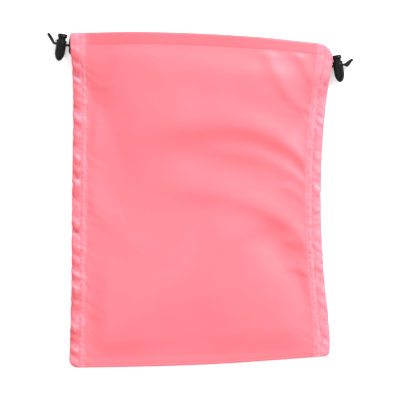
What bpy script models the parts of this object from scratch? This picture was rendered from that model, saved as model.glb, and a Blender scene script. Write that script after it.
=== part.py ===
"""A flat drawstring throw bag, lying on its back with its mouth towards +Y.

Two cloth panels are sewn together along both sides and the bottom.  The top edge of each
panel is turned in as a casing.  Two drawcords run right round both casings: both ends of the
left cord leave at the left corner and both ends of the right cord at the right corner, and
each pair of ends passes through a spring cord lock and is sealed in one tip.
"""
import math

import bmesh
import bpy
import numpy as np
from mathutils import Matrix, Vector

MM = 0.001
COLLECTION = "throw_rope_bag"

# ---- general fits
CLOTH = 0.6 * MM              # thickness of one cloth layer with its coating
GAP = 0.3 * MM                # clear gap between neighbouring solids

# ---- bag
WIDTH = 240.0 * MM
LENGTH = 308.0 * MM
SEAM_BAND = 13.0 * MM         # side band, from the edge to the inner stitch row
BOTTOM_BAND = 9.0 * MM
ALLOWANCE_INSET = 1.0 * MM    # turned-in edges stop this far inside the outline
BODY_RISE = 10.0 * MM         # how far the front panel stands up in the middle
MOUTH_RISE = 7.0 * MM         # the same at the mouth
RISE_WIDTH = 56.0 * MM        # distance in from the band over which it rises
RISE_LENGTH = 75.0 * MM       # the same, up from the bottom band
MOUTH_BLEND = 60.0 * MM       # length below the mouth over which one rise becomes the other
TOP_LEFT_RADIUS = 3.0 * MM
TOP_RIGHT_RADIUS = 15.0 * MM
BOTTOM_LEFT_RADIUS = 8.0 * MM
BOTTOM_RIGHT_RADIUS = 4.0 * MM

# Outline: how far each edge lies from the plain rectangle, at fractions of that edge.
LEFT_EDGE = [(0.0, -0.4), (0.2, 1.4), (0.5, 2.2), (0.85, 2.9), (1.0, 1.1)]
RIGHT_EDGE = [(0.0, -0.9), (0.06, -0.5), (0.13, -2.1), (0.26, -5.8), (0.49, -8.7),
              (0.74, -5.9), (0.88, -1.4), (0.95, 1.7), (1.0, 2.4)]
TOP_EDGE = [(0.0, -0.4), (0.3, -0.4), (0.53, -2.2), (0.76, -5.9), (0.93, -9.6), (1.0, -10.8)]
BOTTOM_EDGE = [(0.0, -0.4), (0.23, 0.4), (0.57, 3.1), (0.8, 6.8), (1.0, 10.4)]

# ---- casing
CORD = 2.2 * MM               # drawcord diameter
CASING_SLACK = 0.25 * MM      # height of the casing beyond the cord and its gaps
HEM_DEPTH = 12.5 * MM         # from the fold to the turned-in edge
HEM_FLAT = 1.2 * MM           # width of the turned-in edge that lies on the outer layer
HEM_RAMP = 9.0 * MM           # from the fold to where the turned-in layer comes down
HEM_OPEN_LEFT = 12.0 * MM     # turned-in layer stops this far short of the left edge
HEM_OPEN_RIGHT = 20.0 * MM
SLIT_LEFT = 18.0 * MM         # side seam starts this far below the top edge
SLIT_RIGHT = 29.0 * MM
SLIT_RAMP = 24.0 * MM         # length over which the panels come together below the slit

# ---- cord lock, measured along its own axis from the rounded tip
LOCK_LENGTH = 25.0 * MM
NOSE = 8.0 * MM               # length of the rounded tip
NOSE_FULLNESS = 0.7           # power of the tip's outline: 1 is an ellipse, less is fuller
BARREL_WALL = 0.95 * MM
BARREL_LIP = 0.4 * MM         # bevel of the barrel's mouth
HEAD_ROUND = 0.8 * MM         # rounding of the press head and the stem's foot
HEAD_STEP = 0.25 * MM         # press head smaller than the barrel by this
HEAD_HEIGHT = 3.2 * MM
TRAVEL = 2.2 * MM             # plunger travel
HOLE_HEIGHT = 15.5 * MM       # cord hole above the tip
STEM_WALL = 0.78 * MM         # plunger wall beside the cord slot
STEM_FOOT = 1.3 * MM          # plunger wall under the cord slot
STEM_CLEARANCE = 0.4 * MM     # left under the plunger when it is pressed right in
STRAND_SLACK = 0.05 * MM      # the two strands' gap beyond the general one
SLOT_ROUNDING = 0.45          # corner radius of the cord slot, in cord diameters
LOCK_TILT = math.radians(9.0)
WIRE = 0.6 * MM               # spring wire diameter
SPRING_RADIUS = 1.7 * MM      # to the middle of the wire
SPRING_TURNS = 5.5
SPRING_CLOSED = 0.6           # turns at each end that hardly climb
SPRING_END_RISE = 0.15 * MM   # climb of such an end, for each turn
SPRING_FLOOR = 2.5 * MM
LEFT_STAND_OFF = 2.9 * MM     # left lock's side from the rectangle's left edge
RIGHT_STAND_OFF = 2.2 * MM
LEFT_HOLE_DROP = 10.8 * MM    # left cord hole below the rectangle's top edge
RIGHT_HOLE_DROP = 30.4 * MM

# ---- drawcord routes
CORD_POINTS = 4.0             # cord diameters from one point of the tube to the next
TIP_RADIUS = 0.55             # of the sealed tip, in cord diameters
LEFT_CORD_DROP = 7.2 * MM     # below the top edge, in the casings
RIGHT_CORD_DROP = 3.9 * MM
LEFT_CORD_ENTRY = 13.2 * MM   # from the edge on the cord's own side
RIGHT_CORD_ENTRY = 10.8 * MM
LEFT_CORD_TURN = 17.3 * MM    # from the other edge, where the cord turns back
RIGHT_CORD_TURN = 4.3 * MM
# Exit points in millimetres: out from the hole along the cord, sag towards the lock's tip, and
# the lower strand's share of the way down to the back casing.  Tail points: out, sag, fall.
LEFT_EXIT = [(5.8, 0.0, 0.0), (4.7, 0.0, 0.0), (0.0, 0.0, 0.0), (-4.7, 0.0, 0.0), (-7.3, 0.0, 0.0),
             (-9.2, -0.3, 0.4), (-11.2, -1.5, 0.8), (-13.2, -3.4, 1.0), (-15.6, -4.9, 1.0)]
LEFT_TAIL = [(6.9, 0.0, 0.0), (8.6, -0.7, 0.5), (10.3, -2.6, 1.2), (11.6, -5.0, 1.9), (12.6, -7.6, 2.3)]
RIGHT_EXIT = [(5.8, 0.0, 0.0), (4.7, 0.0, 0.0), (0.0, 0.0, 0.0), (-4.7, 0.0, 0.0), (-5.7, 0.0, 0.0),
              (-7.2, -0.3, 0.3), (-8.9, -1.7, 0.6), (-9.4, -4.4, 0.9), (-9.0, -8.2, 1.0), (-9.6, -11.8, 1.0)]
RIGHT_TAIL = [(6.9, 0.0, 0.0), (8.7, -0.7, 0.6), (10.8, -2.0, 1.4), (12.7, -3.5, 2.3)]

# ---- fineness of the meshes
FRONT_COLUMNS = 26
BACK_COLUMNS = 18
BODY_ROWS = 17                # equal rows that the body's length is cut into
BODY_ROWS_KEPT = 16           # of them, counted from the bottom; the hem has rows of its own
FOLD_ROWS = 6                 # round the casing's fold
SIDE_STRIP = (2, 22)          # columns and rows of a side allowance
BOTTOM_STRIP = (16, 2)
TURN_POINTS = 7               # half turn of a drawcord
CASING_POINTS = 13            # drawcord along one casing
LOCK_SEGMENTS = 28
NOSE_POINTS = 8
WIRE_POINTS = 12              # for each turn of the spring
TIP_SEGMENTS = (16, 10)

# ---- worked out from the above
STRAND_PITCH = CORD + GAP + STRAND_SLACK
CASING = CORD + 2 * GAP + CASING_SLACK
FOLD = (CASING + CLOTH) / 2
BACK_Z = CLOTH / 2
SEAM_Z = BACK_Z + CLOTH + GAP
FRONT_Z = SEAM_Z + CLOTH + GAP
FRONT_HEM_Z = BACK_Z + 4 * FOLD + CLOTH + GAP
SLOT_WIDTH = STRAND_PITCH + CORD + 2 * GAP
SLOT_HEIGHT = CORD + 2 * GAP
STEM_RADIUS = SLOT_WIDTH / 2 + STEM_WALL
BORE_RADIUS = STEM_RADIUS + GAP
LOCK_RADIUS = BORE_RADIUS + BARREL_WALL
HEAD_RADIUS = LOCK_RADIUS - HEAD_STEP
LOW_STRAND = LOCK_RADIUS + GAP - STRAND_PITCH / 2
HIGH_STRAND = LOW_STRAND + STRAND_PITCH
MOUTH_HEIGHT = LOCK_LENGTH - HEAD_HEIGHT - TRAVEL - GAP
STEM_BOTTOM = HOLE_HEIGHT - SLOT_HEIGHT / 2 - STEM_FOOT
BORE_FLOOR = STEM_BOTTOM - TRAVEL - STEM_CLEARANCE

PINK = (0.90, 0.26, 0.31, 1.0)
DARK_PINK = (0.80, 0.21, 0.26, 1.0)
BLACK = (0.012, 0.012, 0.014, 1.0)
STEEL = (0.55, 0.56, 0.58, 1.0)


# ---------------------------------------------------------------- shape functions
def smooth_step(value):
    """0 below 0, 1 above 1, and an S curve between."""
    t = np.clip(value, 0.0, 1.0)
    return t * t * (3.0 - 2.0 * t)


def edge_offset(points, t):
    """Smooth curve through (fraction, millimetres) points, as metres, by cubic Hermite pieces."""
    x = np.array([p[0] for p in points])
    y = np.array([p[1] for p in points]) * MM
    slope = np.gradient(y, x)
    t = np.clip(t, 0.0, 1.0)
    i = np.clip(np.searchsorted(x, t, side="right") - 1, 0, len(x) - 2)
    h = x[i + 1] - x[i]
    s = (t - x[i]) / h
    return ((1 + 2 * s) * (1 - s) ** 2 * y[i] + s * (1 - s) ** 2 * h * slope[i]
            + s * s * (3 - 2 * s) * y[i + 1] + s * s * (s - 1) * h * slope[i + 1])


def round_corner(a, b, radius):
    """Bend the square corner at a = b = 0 onto a quarter circle, leaving all else alone."""
    p = np.clip(radius - a, 0.0, radius)
    q = np.clip(radius - b, 0.0, radius)
    new_a = a + p * (1 - np.sqrt(1 - q * q / (2 * radius * radius)))
    new_b = b + q * (1 - np.sqrt(1 - p * p / (2 * radius * radius)))
    return new_a, new_b


def plan(u, v):
    """Plan position of a cloth point: u runs left to right, v bottom to top, both 0 to 1."""
    a = np.asarray(u, float) * WIDTH
    b = np.asarray(v, float) * LENGTH
    a, b = round_corner(a, b, BOTTOM_LEFT_RADIUS)
    right, b = round_corner(WIDTH - a, b, BOTTOM_RIGHT_RADIUS)
    right, top = round_corner(right, LENGTH - b, TOP_RIGHT_RADIUS)
    a, top = round_corner(WIDTH - right, top, TOP_LEFT_RADIUS)
    u = a / WIDTH
    v = 1.0 - top / LENGTH
    left_x = -WIDTH / 2 + edge_offset(LEFT_EDGE, v)
    right_x = WIDTH / 2 + edge_offset(RIGHT_EDGE, v)
    low_y = -LENGTH / 2 + edge_offset(BOTTOM_EDGE, u)
    top_y = LENGTH / 2 + edge_offset(TOP_EDGE, u)
    return left_x + u * (right_x - left_x), low_y + v * (top_y - low_y)


def front_height(u, drop):
    """Middle of the front panel's outer layer above the floor, at a drop below the top edge."""
    slit = SLIT_LEFT + (SLIT_RIGHT - SLIT_LEFT) * u
    lift = smooth_step((slit + SLIT_RAMP - drop) / SLIT_RAMP)
    base = FRONT_Z + (FRONT_HEM_Z - FRONT_Z) * lift
    side = np.minimum(u, 1.0 - u) * WIDTH
    across = np.clip((side - SEAM_BAND) / RISE_WIDTH, 0.0, 1.0)
    up = smooth_step((LENGTH - drop - BOTTOM_BAND) / RISE_LENGTH)
    mouth = smooth_step(1.0 - drop / MOUTH_BLEND)
    rise = BODY_RISE + (MOUTH_RISE - BODY_RISE) * mouth
    return base + rise * up * smooth_step(across)


def hem_point(u, drop, layer):
    """A point in the middle of a casing: layer is "front" or "back"."""
    x, y = plan(u, 1.0 - drop / LENGTH)
    z = front_height(u, drop) - FOLD if layer == "front" else BACK_Z + FOLD
    return Vector((float(x), float(y), float(z)))


# ---------------------------------------------------------------- scene helpers
def clear_scene():
    for item in list(bpy.data.objects):
        bpy.data.objects.remove(item, do_unlink=True)


def make_collection(name):
    group = bpy.data.collections.new(name)
    bpy.context.scene.collection.children.link(group)
    return group


def make_material(name, colour, roughness, metallic=0.0):
    material = bpy.data.materials.new(name)
    material.use_nodes = True
    shader = material.node_tree.nodes["Principled BSDF"]
    shader.inputs["Base Color"].default_value = colour
    shader.inputs["Roughness"].default_value = roughness
    shader.inputs["Metallic"].default_value = metallic
    return material


def finish_node(item, name, colour, roughness, metallic=0.0):
    """Name the object, put it in the part's collection and give it its own material."""
    item.name = name
    item.data.name = name
    for group in list(item.users_collection):
        group.objects.unlink(item)
    bpy.data.collections[COLLECTION].objects.link(item)
    item.data.materials.clear()
    item.data.materials.append(make_material(name, colour, roughness, metallic))
    if item.type == "MESH":
        item.data.shade_smooth()
        item.data.set_sharp_from_angle(angle=math.radians(40))
    return item


def solidify(item, thickness):
    modifier = item.modifiers.new("thickness", "SOLIDIFY")
    modifier.thickness = thickness
    modifier.offset = 0.0


def cut(item, cutter):
    """Boolean difference with the EXACT solver; the cutter stays as a hidden wire object."""
    modifier = item.modifiers.new("cut_" + cutter.name, "BOOLEAN")
    modifier.operation = "DIFFERENCE"
    modifier.solver = "EXACT"
    modifier.object = cutter


def grid_sheet(columns, rows, shape):
    """A grid primitive whose points are placed by shape(u, w), with u and w from 0 to 1."""
    bpy.ops.mesh.primitive_grid_add(x_subdivisions=columns, y_subdivisions=rows, size=1.0)
    item = bpy.context.object
    mesh = item.data
    flat = np.empty(len(mesh.vertices) * 3)
    mesh.vertices.foreach_get("co", flat)
    flat = flat.reshape(-1, 3)
    placed = np.column_stack(shape(flat[:, 0] + 0.5, flat[:, 1] + 0.5))
    mesh.vertices.foreach_set("co", placed.ravel())
    mesh.update()
    return item


def smooth_path(points, spacing):
    """The given points and others between them, about one spacing apart, on a smooth curve."""
    p = np.array([tuple(q) for q in points])
    step = np.linalg.norm(np.diff(p, axis=0), axis=1)
    at = np.concatenate([[0.0], np.cumsum(step)])
    slope = np.gradient(p, at, axis=0)
    parts = np.maximum(1, np.rint(step / spacing)).astype(int)
    i = np.append(np.repeat(np.arange(len(parts)), parts), len(parts) - 1)
    s = np.append(np.concatenate([np.arange(n) / n for n in parts]), 1.0)[:, None]
    h = step[i][:, None]
    return ((1 + 2 * s) * (1 - s) ** 2 * p[i] + s * (1 - s) ** 2 * h * slope[i]
            + s * s * (3 - 2 * s) * p[i + 1] + s * s * (s - 1) * h * slope[i + 1])


def tube(points, radius):
    """A bevelled poly curve with filled caps along the points."""
    data = bpy.data.curves.new("tube", "CURVE")
    data.dimensions = "3D"
    data.bevel_depth = radius
    data.bevel_resolution = 2
    data.use_fill_caps = True
    spline = data.splines.new("POLY")
    spline.points.add(len(points) - 1)
    spline.points.foreach_set("co", np.column_stack([points, np.ones(len(points))]).ravel())
    item = bpy.data.objects.new("tube", data)
    bpy.context.scene.collection.objects.link(item)
    return item


def turned(profile, segments):
    """Turn (radius, height) points round local Z; they run down the outer side."""
    mesh = bpy.data.meshes.new("profile")
    edges = [(i, i + 1) for i in range(len(profile) - 1)]
    mesh.from_pydata([(r, 0.0, z) for r, z in profile], edges, [])
    item = bpy.data.objects.new("turned", mesh)
    bpy.context.scene.collection.objects.link(item)
    screw = item.modifiers.new("turn", "SCREW")
    screw.steps = segments
    screw.render_steps = segments
    screw.use_merge_vertices = True
    screw.merge_threshold = 0.00001
    return item


# ---------------------------------------------------------------- cloth
def panel_rows():
    """(drop, turn) for each row from the bottom edge to the turned-in edge of the hem.

    drop is the distance below the top edge, and turn is the height of the row above the
    outer layer, measured towards the inside of the bag.
    """
    body = [LENGTH * (1.0 - k / BODY_ROWS) for k in range(BODY_ROWS_KEPT)]
    body += [SLIT_LEFT + SLIT_RAMP / 2, SLIT_LEFT + 4 * MM, HEM_DEPTH, HEM_RAMP, HEM_RAMP / 2]
    body = sorted(body, reverse=True)
    rows = [(drop, 0.0) for drop in body]
    for angle in np.linspace(0.0, math.pi, FOLD_ROWS):
        rows.append((FOLD * (1.0 - math.sin(angle)), FOLD * (1.0 - math.cos(angle))))
    rows.append((HEM_RAMP / 2, 2 * FOLD))
    rows.append((HEM_RAMP, 2 * FOLD))
    rows.append((HEM_DEPTH - HEM_FLAT, CLOTH + GAP))
    rows.append((HEM_DEPTH, CLOTH + GAP))
    return np.array(rows)


def spread_columns(u):
    """Bring the columns of a panel closer together near its side edges."""
    return u - 0.5 * np.sin(2 * math.pi * u) / (2 * math.pi)


def panel_shape(outer_height, inward):
    """Placing function of a panel, from its outer layer's height and the inward direction."""
    rows = panel_rows()

    def shape(u, w):
        index = np.rint(w * (len(rows) - 1)).astype(int)
        drop = rows[index, 0]
        turn = rows[index, 1]
        turned_in = smooth_step(turn / (2 * FOLD) * 2.0 - 1.0)
        turned_in = np.where(index >= len(rows) - 4, 1.0, turned_in)
        u = spread_columns(u)
        left = HEM_OPEN_LEFT / WIDTH * turned_in
        right = HEM_OPEN_RIGHT / WIDTH * turned_in
        u = left + u * (1.0 - left - right)
        x, y = plan(u, 1.0 - drop / LENGTH)
        z = outer_height(u, drop) + inward * turn
        return x, y, z

    return shape, len(rows) - 1


def make_panels():
    shape, rows = panel_shape(front_height, -1.0)
    front = grid_sheet(FRONT_COLUMNS, rows, shape)
    solidify(front, CLOTH)
    finish_node(front, "front_panel", PINK, 0.5)
    shape, rows = panel_shape(lambda u, drop: np.full_like(u, BACK_Z), 1.0)
    back = grid_sheet(BACK_COLUMNS, rows, shape)
    solidify(back, CLOTH)
    finish_node(back, "back_panel", PINK, 0.5)


def make_side_allowance(name, side, slit):
    """The turned-in raw edges between the panels, from the bottom up to the slit."""
    def shape(u, w):
        inset = (ALLOWANCE_INSET + u * (SEAM_BAND - ALLOWANCE_INSET)) / WIDTH
        across = inset if side < 0 else 1.0 - inset
        top = 1.0 - (slit + GAP) / LENGTH
        bottom = BOTTOM_LEFT_RADIUS / 2 / LENGTH
        x, y = plan(across, bottom + w * (top - bottom))
        return x, y, np.full_like(x, SEAM_Z)

    strip = grid_sheet(*SIDE_STRIP, shape)
    solidify(strip, CLOTH)
    finish_node(strip, name, DARK_PINK, 0.55)


def make_bottom_allowance():
    """The turned-in raw edges along the bottom, between the two side ones."""
    def shape(u, w):
        inset = (SEAM_BAND + 2 * GAP) / WIDTH
        height = (ALLOWANCE_INSET + w * (BOTTOM_BAND - ALLOWANCE_INSET)) / LENGTH
        x, y = plan(inset + u * (1.0 - 2 * inset), height)
        return x, y, np.full_like(x, SEAM_Z)

    strip = grid_sheet(*BOTTOM_STRIP, shape)
    solidify(strip, CLOTH)
    finish_node(strip, "bottom_seam_allowance", DARK_PINK, 0.55)


# ---------------------------------------------------------------- cord locks
class Lock:
    """Place and directions of one cord lock: side is -1 at the left and 1 at the right."""

    def __init__(self, name, side, stand_off, drop):
        self.name = name
        self.side = side
        reach = WIDTH / 2 + stand_off + LOCK_RADIUS
        self.hole = Vector((side * reach, LENGTH / 2 - drop, LOCK_RADIUS + GAP))
        self.axis = Vector((-side * math.sin(LOCK_TILT), math.cos(LOCK_TILT), 0.0))
        self.cord = Vector((side * math.cos(LOCK_TILT), math.sin(LOCK_TILT), 0.0))
        tip = self.hole - self.axis * HOLE_HEIGHT
        upright = Vector((0.0, 0.0, 1.0))
        turn = Matrix((upright.cross(self.axis), upright, self.axis)).transposed()
        self.matrix = Matrix.Translation(tip) @ turn.to_4x4()

    def strand(self, out, height, sag=0.0):
        """A point on a strand, so many millimetres out from the hole and sagging across it."""
        place = self.hole + self.cord * out * MM - self.axis * sag * MM
        return Vector((place.x, place.y, height))


def slot_cutter(name, lock, low, high):
    """A rounded slot right through the lock along the cord, between two heights."""
    bpy.ops.mesh.primitive_cube_add(size=1.0)
    item = bpy.context.object
    item.name = name
    size = Vector((4 * LOCK_RADIUS, SLOT_WIDTH, high - low))
    item.data.transform(Matrix.Diagonal((*size, 1.0)))
    item.data.transform(Matrix.Translation((0.0, 0.0, (low + high) / 2)))
    mesh = bmesh.new()
    mesh.from_mesh(item.data)
    along = [e for e in mesh.edges if abs((e.verts[0].co - e.verts[1].co).x) > LOCK_RADIUS]
    bmesh.ops.bevel(mesh, geom=along, offset=SLOT_ROUNDING * CORD, segments=3, affect="EDGES",
                      profile=0.5)
    mesh.to_mesh(item.data)
    mesh.free()
    item.matrix_world = lock.matrix
    item.hide_render = True
    item.display_type = "WIRE"
    for group in list(item.users_collection):
        group.objects.unlink(item)
    bpy.data.collections["cutters"].objects.link(item)
    return item


def barrel_profile():
    """Bored cup with a rounded tip: up the stepped bore, then down the outside."""
    spring_bore = SPRING_RADIUS + WIRE / 2 + GAP
    inside = [(0.0, SPRING_FLOOR), (spring_bore, SPRING_FLOOR), (spring_bore, BORE_FLOOR),
              (BORE_RADIUS, BORE_FLOOR), (BORE_RADIUS, MOUTH_HEIGHT)]
    outside = [(LOCK_RADIUS - BARREL_LIP, MOUTH_HEIGHT), (LOCK_RADIUS, MOUTH_HEIGHT - BARREL_LIP)]
    for angle in np.linspace(0.0, math.pi / 2, NOSE_POINTS):
        radius = LOCK_RADIUS * math.cos(angle) ** NOSE_FULLNESS
        outside.append((radius, NOSE * (1.0 - math.sin(angle))))
    outside[-1] = (0.0, 0.0)
    return inside + outside


def plunger_profile():
    """Stem with a domed press head."""
    edge = HEAD_ROUND
    under = LOCK_LENGTH - HEAD_HEIGHT
    return [(0.0, LOCK_LENGTH), (HEAD_RADIUS - edge, LOCK_LENGTH),
            (HEAD_RADIUS - 0.25 * edge, LOCK_LENGTH - 0.3 * edge),
            (HEAD_RADIUS, LOCK_LENGTH - edge), (HEAD_RADIUS, under + edge / 2),
            (HEAD_RADIUS - edge / 2, under), (STEM_RADIUS, under),
            (STEM_RADIUS, STEM_BOTTOM + edge / 2), (STEM_RADIUS - edge / 2, STEM_BOTTOM),
            (0.0, STEM_BOTTOM)]


def make_spring(lock):
    """Compression spring between the barrel's floor and the plunger's foot."""
    low = SPRING_FLOOR + GAP + WIRE / 2
    high = STEM_BOTTOM - GAP - WIRE / 2
    turn = np.linspace(0.0, SPRING_TURNS, int(SPRING_TURNS * WIRE_POINTS) + 1)
    rise = np.clip((turn - SPRING_CLOSED) / (SPRING_TURNS - 2 * SPRING_CLOSED), 0.0, 1.0)
    angle = 2 * math.pi * turn
    path = np.column_stack([SPRING_RADIUS * np.cos(angle), SPRING_RADIUS * np.sin(angle),
                            low + (high - low) * rise])
    path[:, 2] += np.minimum(turn, SPRING_CLOSED) * SPRING_END_RISE
    item = tube(path, WIRE / 2)
    item.matrix_world = lock.matrix
    finish_node(item, lock.name + "_lock_spring", STEEL, 0.3, 1.0)


def make_lock(lock):
    base = HOLE_HEIGHT - SLOT_HEIGHT / 2
    barrel = turned(barrel_profile(), LOCK_SEGMENTS)
    barrel.matrix_world = lock.matrix
    cut(barrel, slot_cutter(lock.name + "_barrel_hole", lock, base, base + SLOT_HEIGHT))
    finish_node(barrel, lock.name + "_lock_barrel", BLACK, 0.45)
    plunger = turned(plunger_profile(), LOCK_SEGMENTS)
    plunger.matrix_world = lock.matrix
    cut(plunger, slot_cutter(lock.name + "_plunger_slot", lock, base, base + SLOT_HEIGHT + TRAVEL))
    finish_node(plunger, lock.name + "_lock_plunger", BLACK, 0.4)
    make_spring(lock)


# ---------------------------------------------------------------- drawcords
def loop_turn(start, outward, radius):
    """Half turn from the front casing down to the back one: outward is -1 left, 1 right."""
    points = []
    for angle in np.linspace(0.0, math.pi, TURN_POINTS)[1:-1]:
        reach = Vector((outward * radius * math.sin(angle), 0.0, 0.0))
        points.append(start + reach - Vector((0.0, 0.0, radius * (1.0 - math.cos(angle)))))
    return points


def casing_run(lock, drop, near, far, layer):
    """Points along a casing at a fixed drop, closer together where the cord turns back."""
    shares = np.append(np.linspace(0.0, 1.0, CASING_POINTS)[:-1], [0.97, 0.985, 1.0])
    reach = (near + shares * (WIDTH - near - far)) / WIDTH
    across = reach if lock.side < 0 else 1.0 - reach
    return [hem_point(u, drop, layer) for u in across]


def cord_route(lock, drop, near, far, exit_points, tail_points):
    """Whole route: tail, lock, front casing, half turn, back casing, lock, tail.

    near and far are how far from the bag's edge the cord enters the casing on its own side
    and turns back on the other.  The exit and tail points are chosen by hand as
    (out, sag, rise) from the lock's hole, and serve the upper strand; the lower strand repeats
    them one strand lower in the lock and at the casing's own height beside the bag.
    """
    front = casing_run(lock, drop, near, far, "front")
    back = casing_run(lock, drop, near, far, "back")[::-1]
    radius = (front[-1].z - back[0].z) / 2
    turn = loop_turn(front[-1], -lock.side, radius)
    high_tail = [lock.strand(out, HIGH_STRAND - fall * MM, sag) for out, sag, fall in tail_points]
    low_tail = [lock.strand(out, LOW_STRAND - fall * MM, sag) for out, sag, fall in tail_points]
    high_exit = [lock.strand(out, HIGH_STRAND, sag) for out, sag, share in exit_points]
    low_exit = []
    for out, sag, share in exit_points:
        height = LOW_STRAND + (BACK_Z + FOLD - LOW_STRAND) * share
        low_exit.append(lock.strand(out, height, sag))
    return (high_tail[::-1] + high_exit + front + turn + back
            + low_exit[::-1] + low_tail)


def make_cord(lock, route):
    item = tube(smooth_path(route, CORD_POINTS * CORD), CORD / 2)
    finish_node(item, lock.name + "_drawcord", BLACK, 0.8)


def make_tip(lock, route):
    """Sealed bead across both cord ends."""
    high = route[0]
    low = route[-1]
    along = (route[0] - route[1]).normalized()
    along.z = 0.0
    middle = (high + low) / 2 + along * (CORD / 2 + 3 * GAP)
    segments, rings = TIP_SEGMENTS
    bpy.ops.mesh.primitive_uv_sphere_add(segments=segments, ring_count=rings, radius=1.0)
    item = bpy.context.object
    radius = TIP_RADIUS * CORD
    scale = Matrix.Diagonal((radius, radius, STRAND_PITCH / 2 + 0.5 * CORD, 1.0))
    item.data.transform(scale)
    item.location = middle
    finish_node(item, lock.name + "_cord_tip", BLACK, 0.6)


def build():
    clear_scene()
    make_collection(COLLECTION)
    make_collection("cutters")
    make_panels()
    make_side_allowance("left_seam_allowance", -1, SLIT_LEFT + SLIT_RAMP / 2)
    make_side_allowance("right_seam_allowance", 1, SLIT_RIGHT + SLIT_RAMP / 2)
    make_bottom_allowance()
    left = Lock("left", -1, LEFT_STAND_OFF, LEFT_HOLE_DROP)
    right = Lock("right", 1, RIGHT_STAND_OFF, RIGHT_HOLE_DROP)
    left_route = cord_route(left, LEFT_CORD_DROP, LEFT_CORD_ENTRY, LEFT_CORD_TURN,
                            LEFT_EXIT, LEFT_TAIL)
    right_route = cord_route(right, RIGHT_CORD_DROP, RIGHT_CORD_ENTRY, RIGHT_CORD_TURN,
                             RIGHT_EXIT, RIGHT_TAIL)
    for lock, route in ((left, left_route), (right, right_route)):
        make_lock(lock)
        make_cord(lock, route)
        make_tip(lock, route)


build()
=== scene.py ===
"""Looks of the flat drawstring throw bag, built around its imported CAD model.

Every cloth surface is worked out from two parameters: u runs across the bag from its left
edge to its right one, both 0 to 1, and drop is the distance below the top edge in metres.
"""
import math

import bpy
import numpy as np
from bpy.props import FloatProperty, FloatVectorProperty, IntProperty, PointerProperty
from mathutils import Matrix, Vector


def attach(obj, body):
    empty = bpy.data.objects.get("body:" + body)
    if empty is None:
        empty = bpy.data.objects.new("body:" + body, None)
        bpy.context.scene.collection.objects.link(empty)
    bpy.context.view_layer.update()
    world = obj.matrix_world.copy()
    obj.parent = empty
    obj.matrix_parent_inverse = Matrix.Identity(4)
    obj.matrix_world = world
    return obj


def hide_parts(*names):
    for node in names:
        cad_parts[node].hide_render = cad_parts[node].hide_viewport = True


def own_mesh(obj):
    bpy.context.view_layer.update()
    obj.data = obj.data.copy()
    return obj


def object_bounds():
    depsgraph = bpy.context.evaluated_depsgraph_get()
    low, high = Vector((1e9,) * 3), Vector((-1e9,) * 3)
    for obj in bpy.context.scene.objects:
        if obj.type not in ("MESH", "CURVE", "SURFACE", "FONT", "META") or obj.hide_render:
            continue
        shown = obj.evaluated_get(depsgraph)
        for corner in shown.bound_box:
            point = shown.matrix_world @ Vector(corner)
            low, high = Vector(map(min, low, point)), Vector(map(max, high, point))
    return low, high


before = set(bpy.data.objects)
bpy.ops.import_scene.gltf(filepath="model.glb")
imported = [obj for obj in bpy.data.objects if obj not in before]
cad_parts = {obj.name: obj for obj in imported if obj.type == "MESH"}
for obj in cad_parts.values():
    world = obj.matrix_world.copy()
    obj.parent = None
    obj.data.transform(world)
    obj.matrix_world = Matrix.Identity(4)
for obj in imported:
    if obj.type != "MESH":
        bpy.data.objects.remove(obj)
CAD_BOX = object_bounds()

bl_info = {
    "name": "Drawstring Throw Bag",
    "version": (1, 0, 0),
    "blender": (4, 5, 0),
    "location": "View3D > Sidebar > Throw Bag",
    "description": "Builds the cloth, seams, drawcords and cord locks of a flat drawstring bag",
    "category": "Object",
}

MM = 0.001
BAG = "bag"
UP = np.array([0.0, 0.0, 1.0])

# ---- the CAD model's own sizes
CLOTH = 0.6 * MM
GAP = 0.3 * MM
WIDTH = 240.0 * MM
LENGTH = 308.0 * MM
SEAM_BAND = 13.0 * MM
BOTTOM_BAND = 9.0 * MM
BODY_RISE = 10.0 * MM
MOUTH_RISE = 7.0 * MM
RISE_WIDTH = 56.0 * MM
RISE_LENGTH = 120.0 * MM
TOP_LEFT_RADIUS = 3.0 * MM
TOP_RIGHT_RADIUS = 15.0 * MM
BOTTOM_LEFT_RADIUS = 8.0 * MM
BOTTOM_RIGHT_RADIUS = 4.0 * MM
LEFT_EDGE = [(0.0, -0.4), (0.2, 1.4), (0.5, 2.2), (0.85, 2.9), (1.0, 1.1)]
RIGHT_EDGE = [(0.0, -0.9), (0.06, -0.5), (0.13, -2.1), (0.26, -5.8), (0.49, -8.7),
              (0.74, -5.9), (0.88, -1.4), (0.95, 1.7), (1.0, 2.4)]
TOP_EDGE = [(0.0, -0.4), (0.3, -0.4), (0.53, -2.2), (0.76, -5.9), (0.93, -9.6), (1.0, -10.8)]
BOTTOM_EDGE = [(0.0, -0.4), (0.23, 0.4), (0.57, 3.1), (0.8, 6.8), (1.0, 10.4)]
CORD = 2.2 * MM
CASING = CORD + 2 * GAP + 0.25 * MM
FOLD = (CASING + CLOTH) / 2
HEM_OPEN_LEFT = 12.0 * MM
HEM_OPEN_RIGHT = 20.0 * MM
SLIT_LEFT = 18.0 * MM
SLIT_RIGHT = 29.0 * MM
SLIT_RAMP = 24.0 * MM
BACK_Z = CLOTH / 2
SEAM_Z = BACK_Z + CLOTH + GAP
FRONT_Z = SEAM_Z + CLOTH + GAP
FRONT_HEM_Z = BACK_Z + 4 * FOLD + CLOTH + GAP

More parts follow.
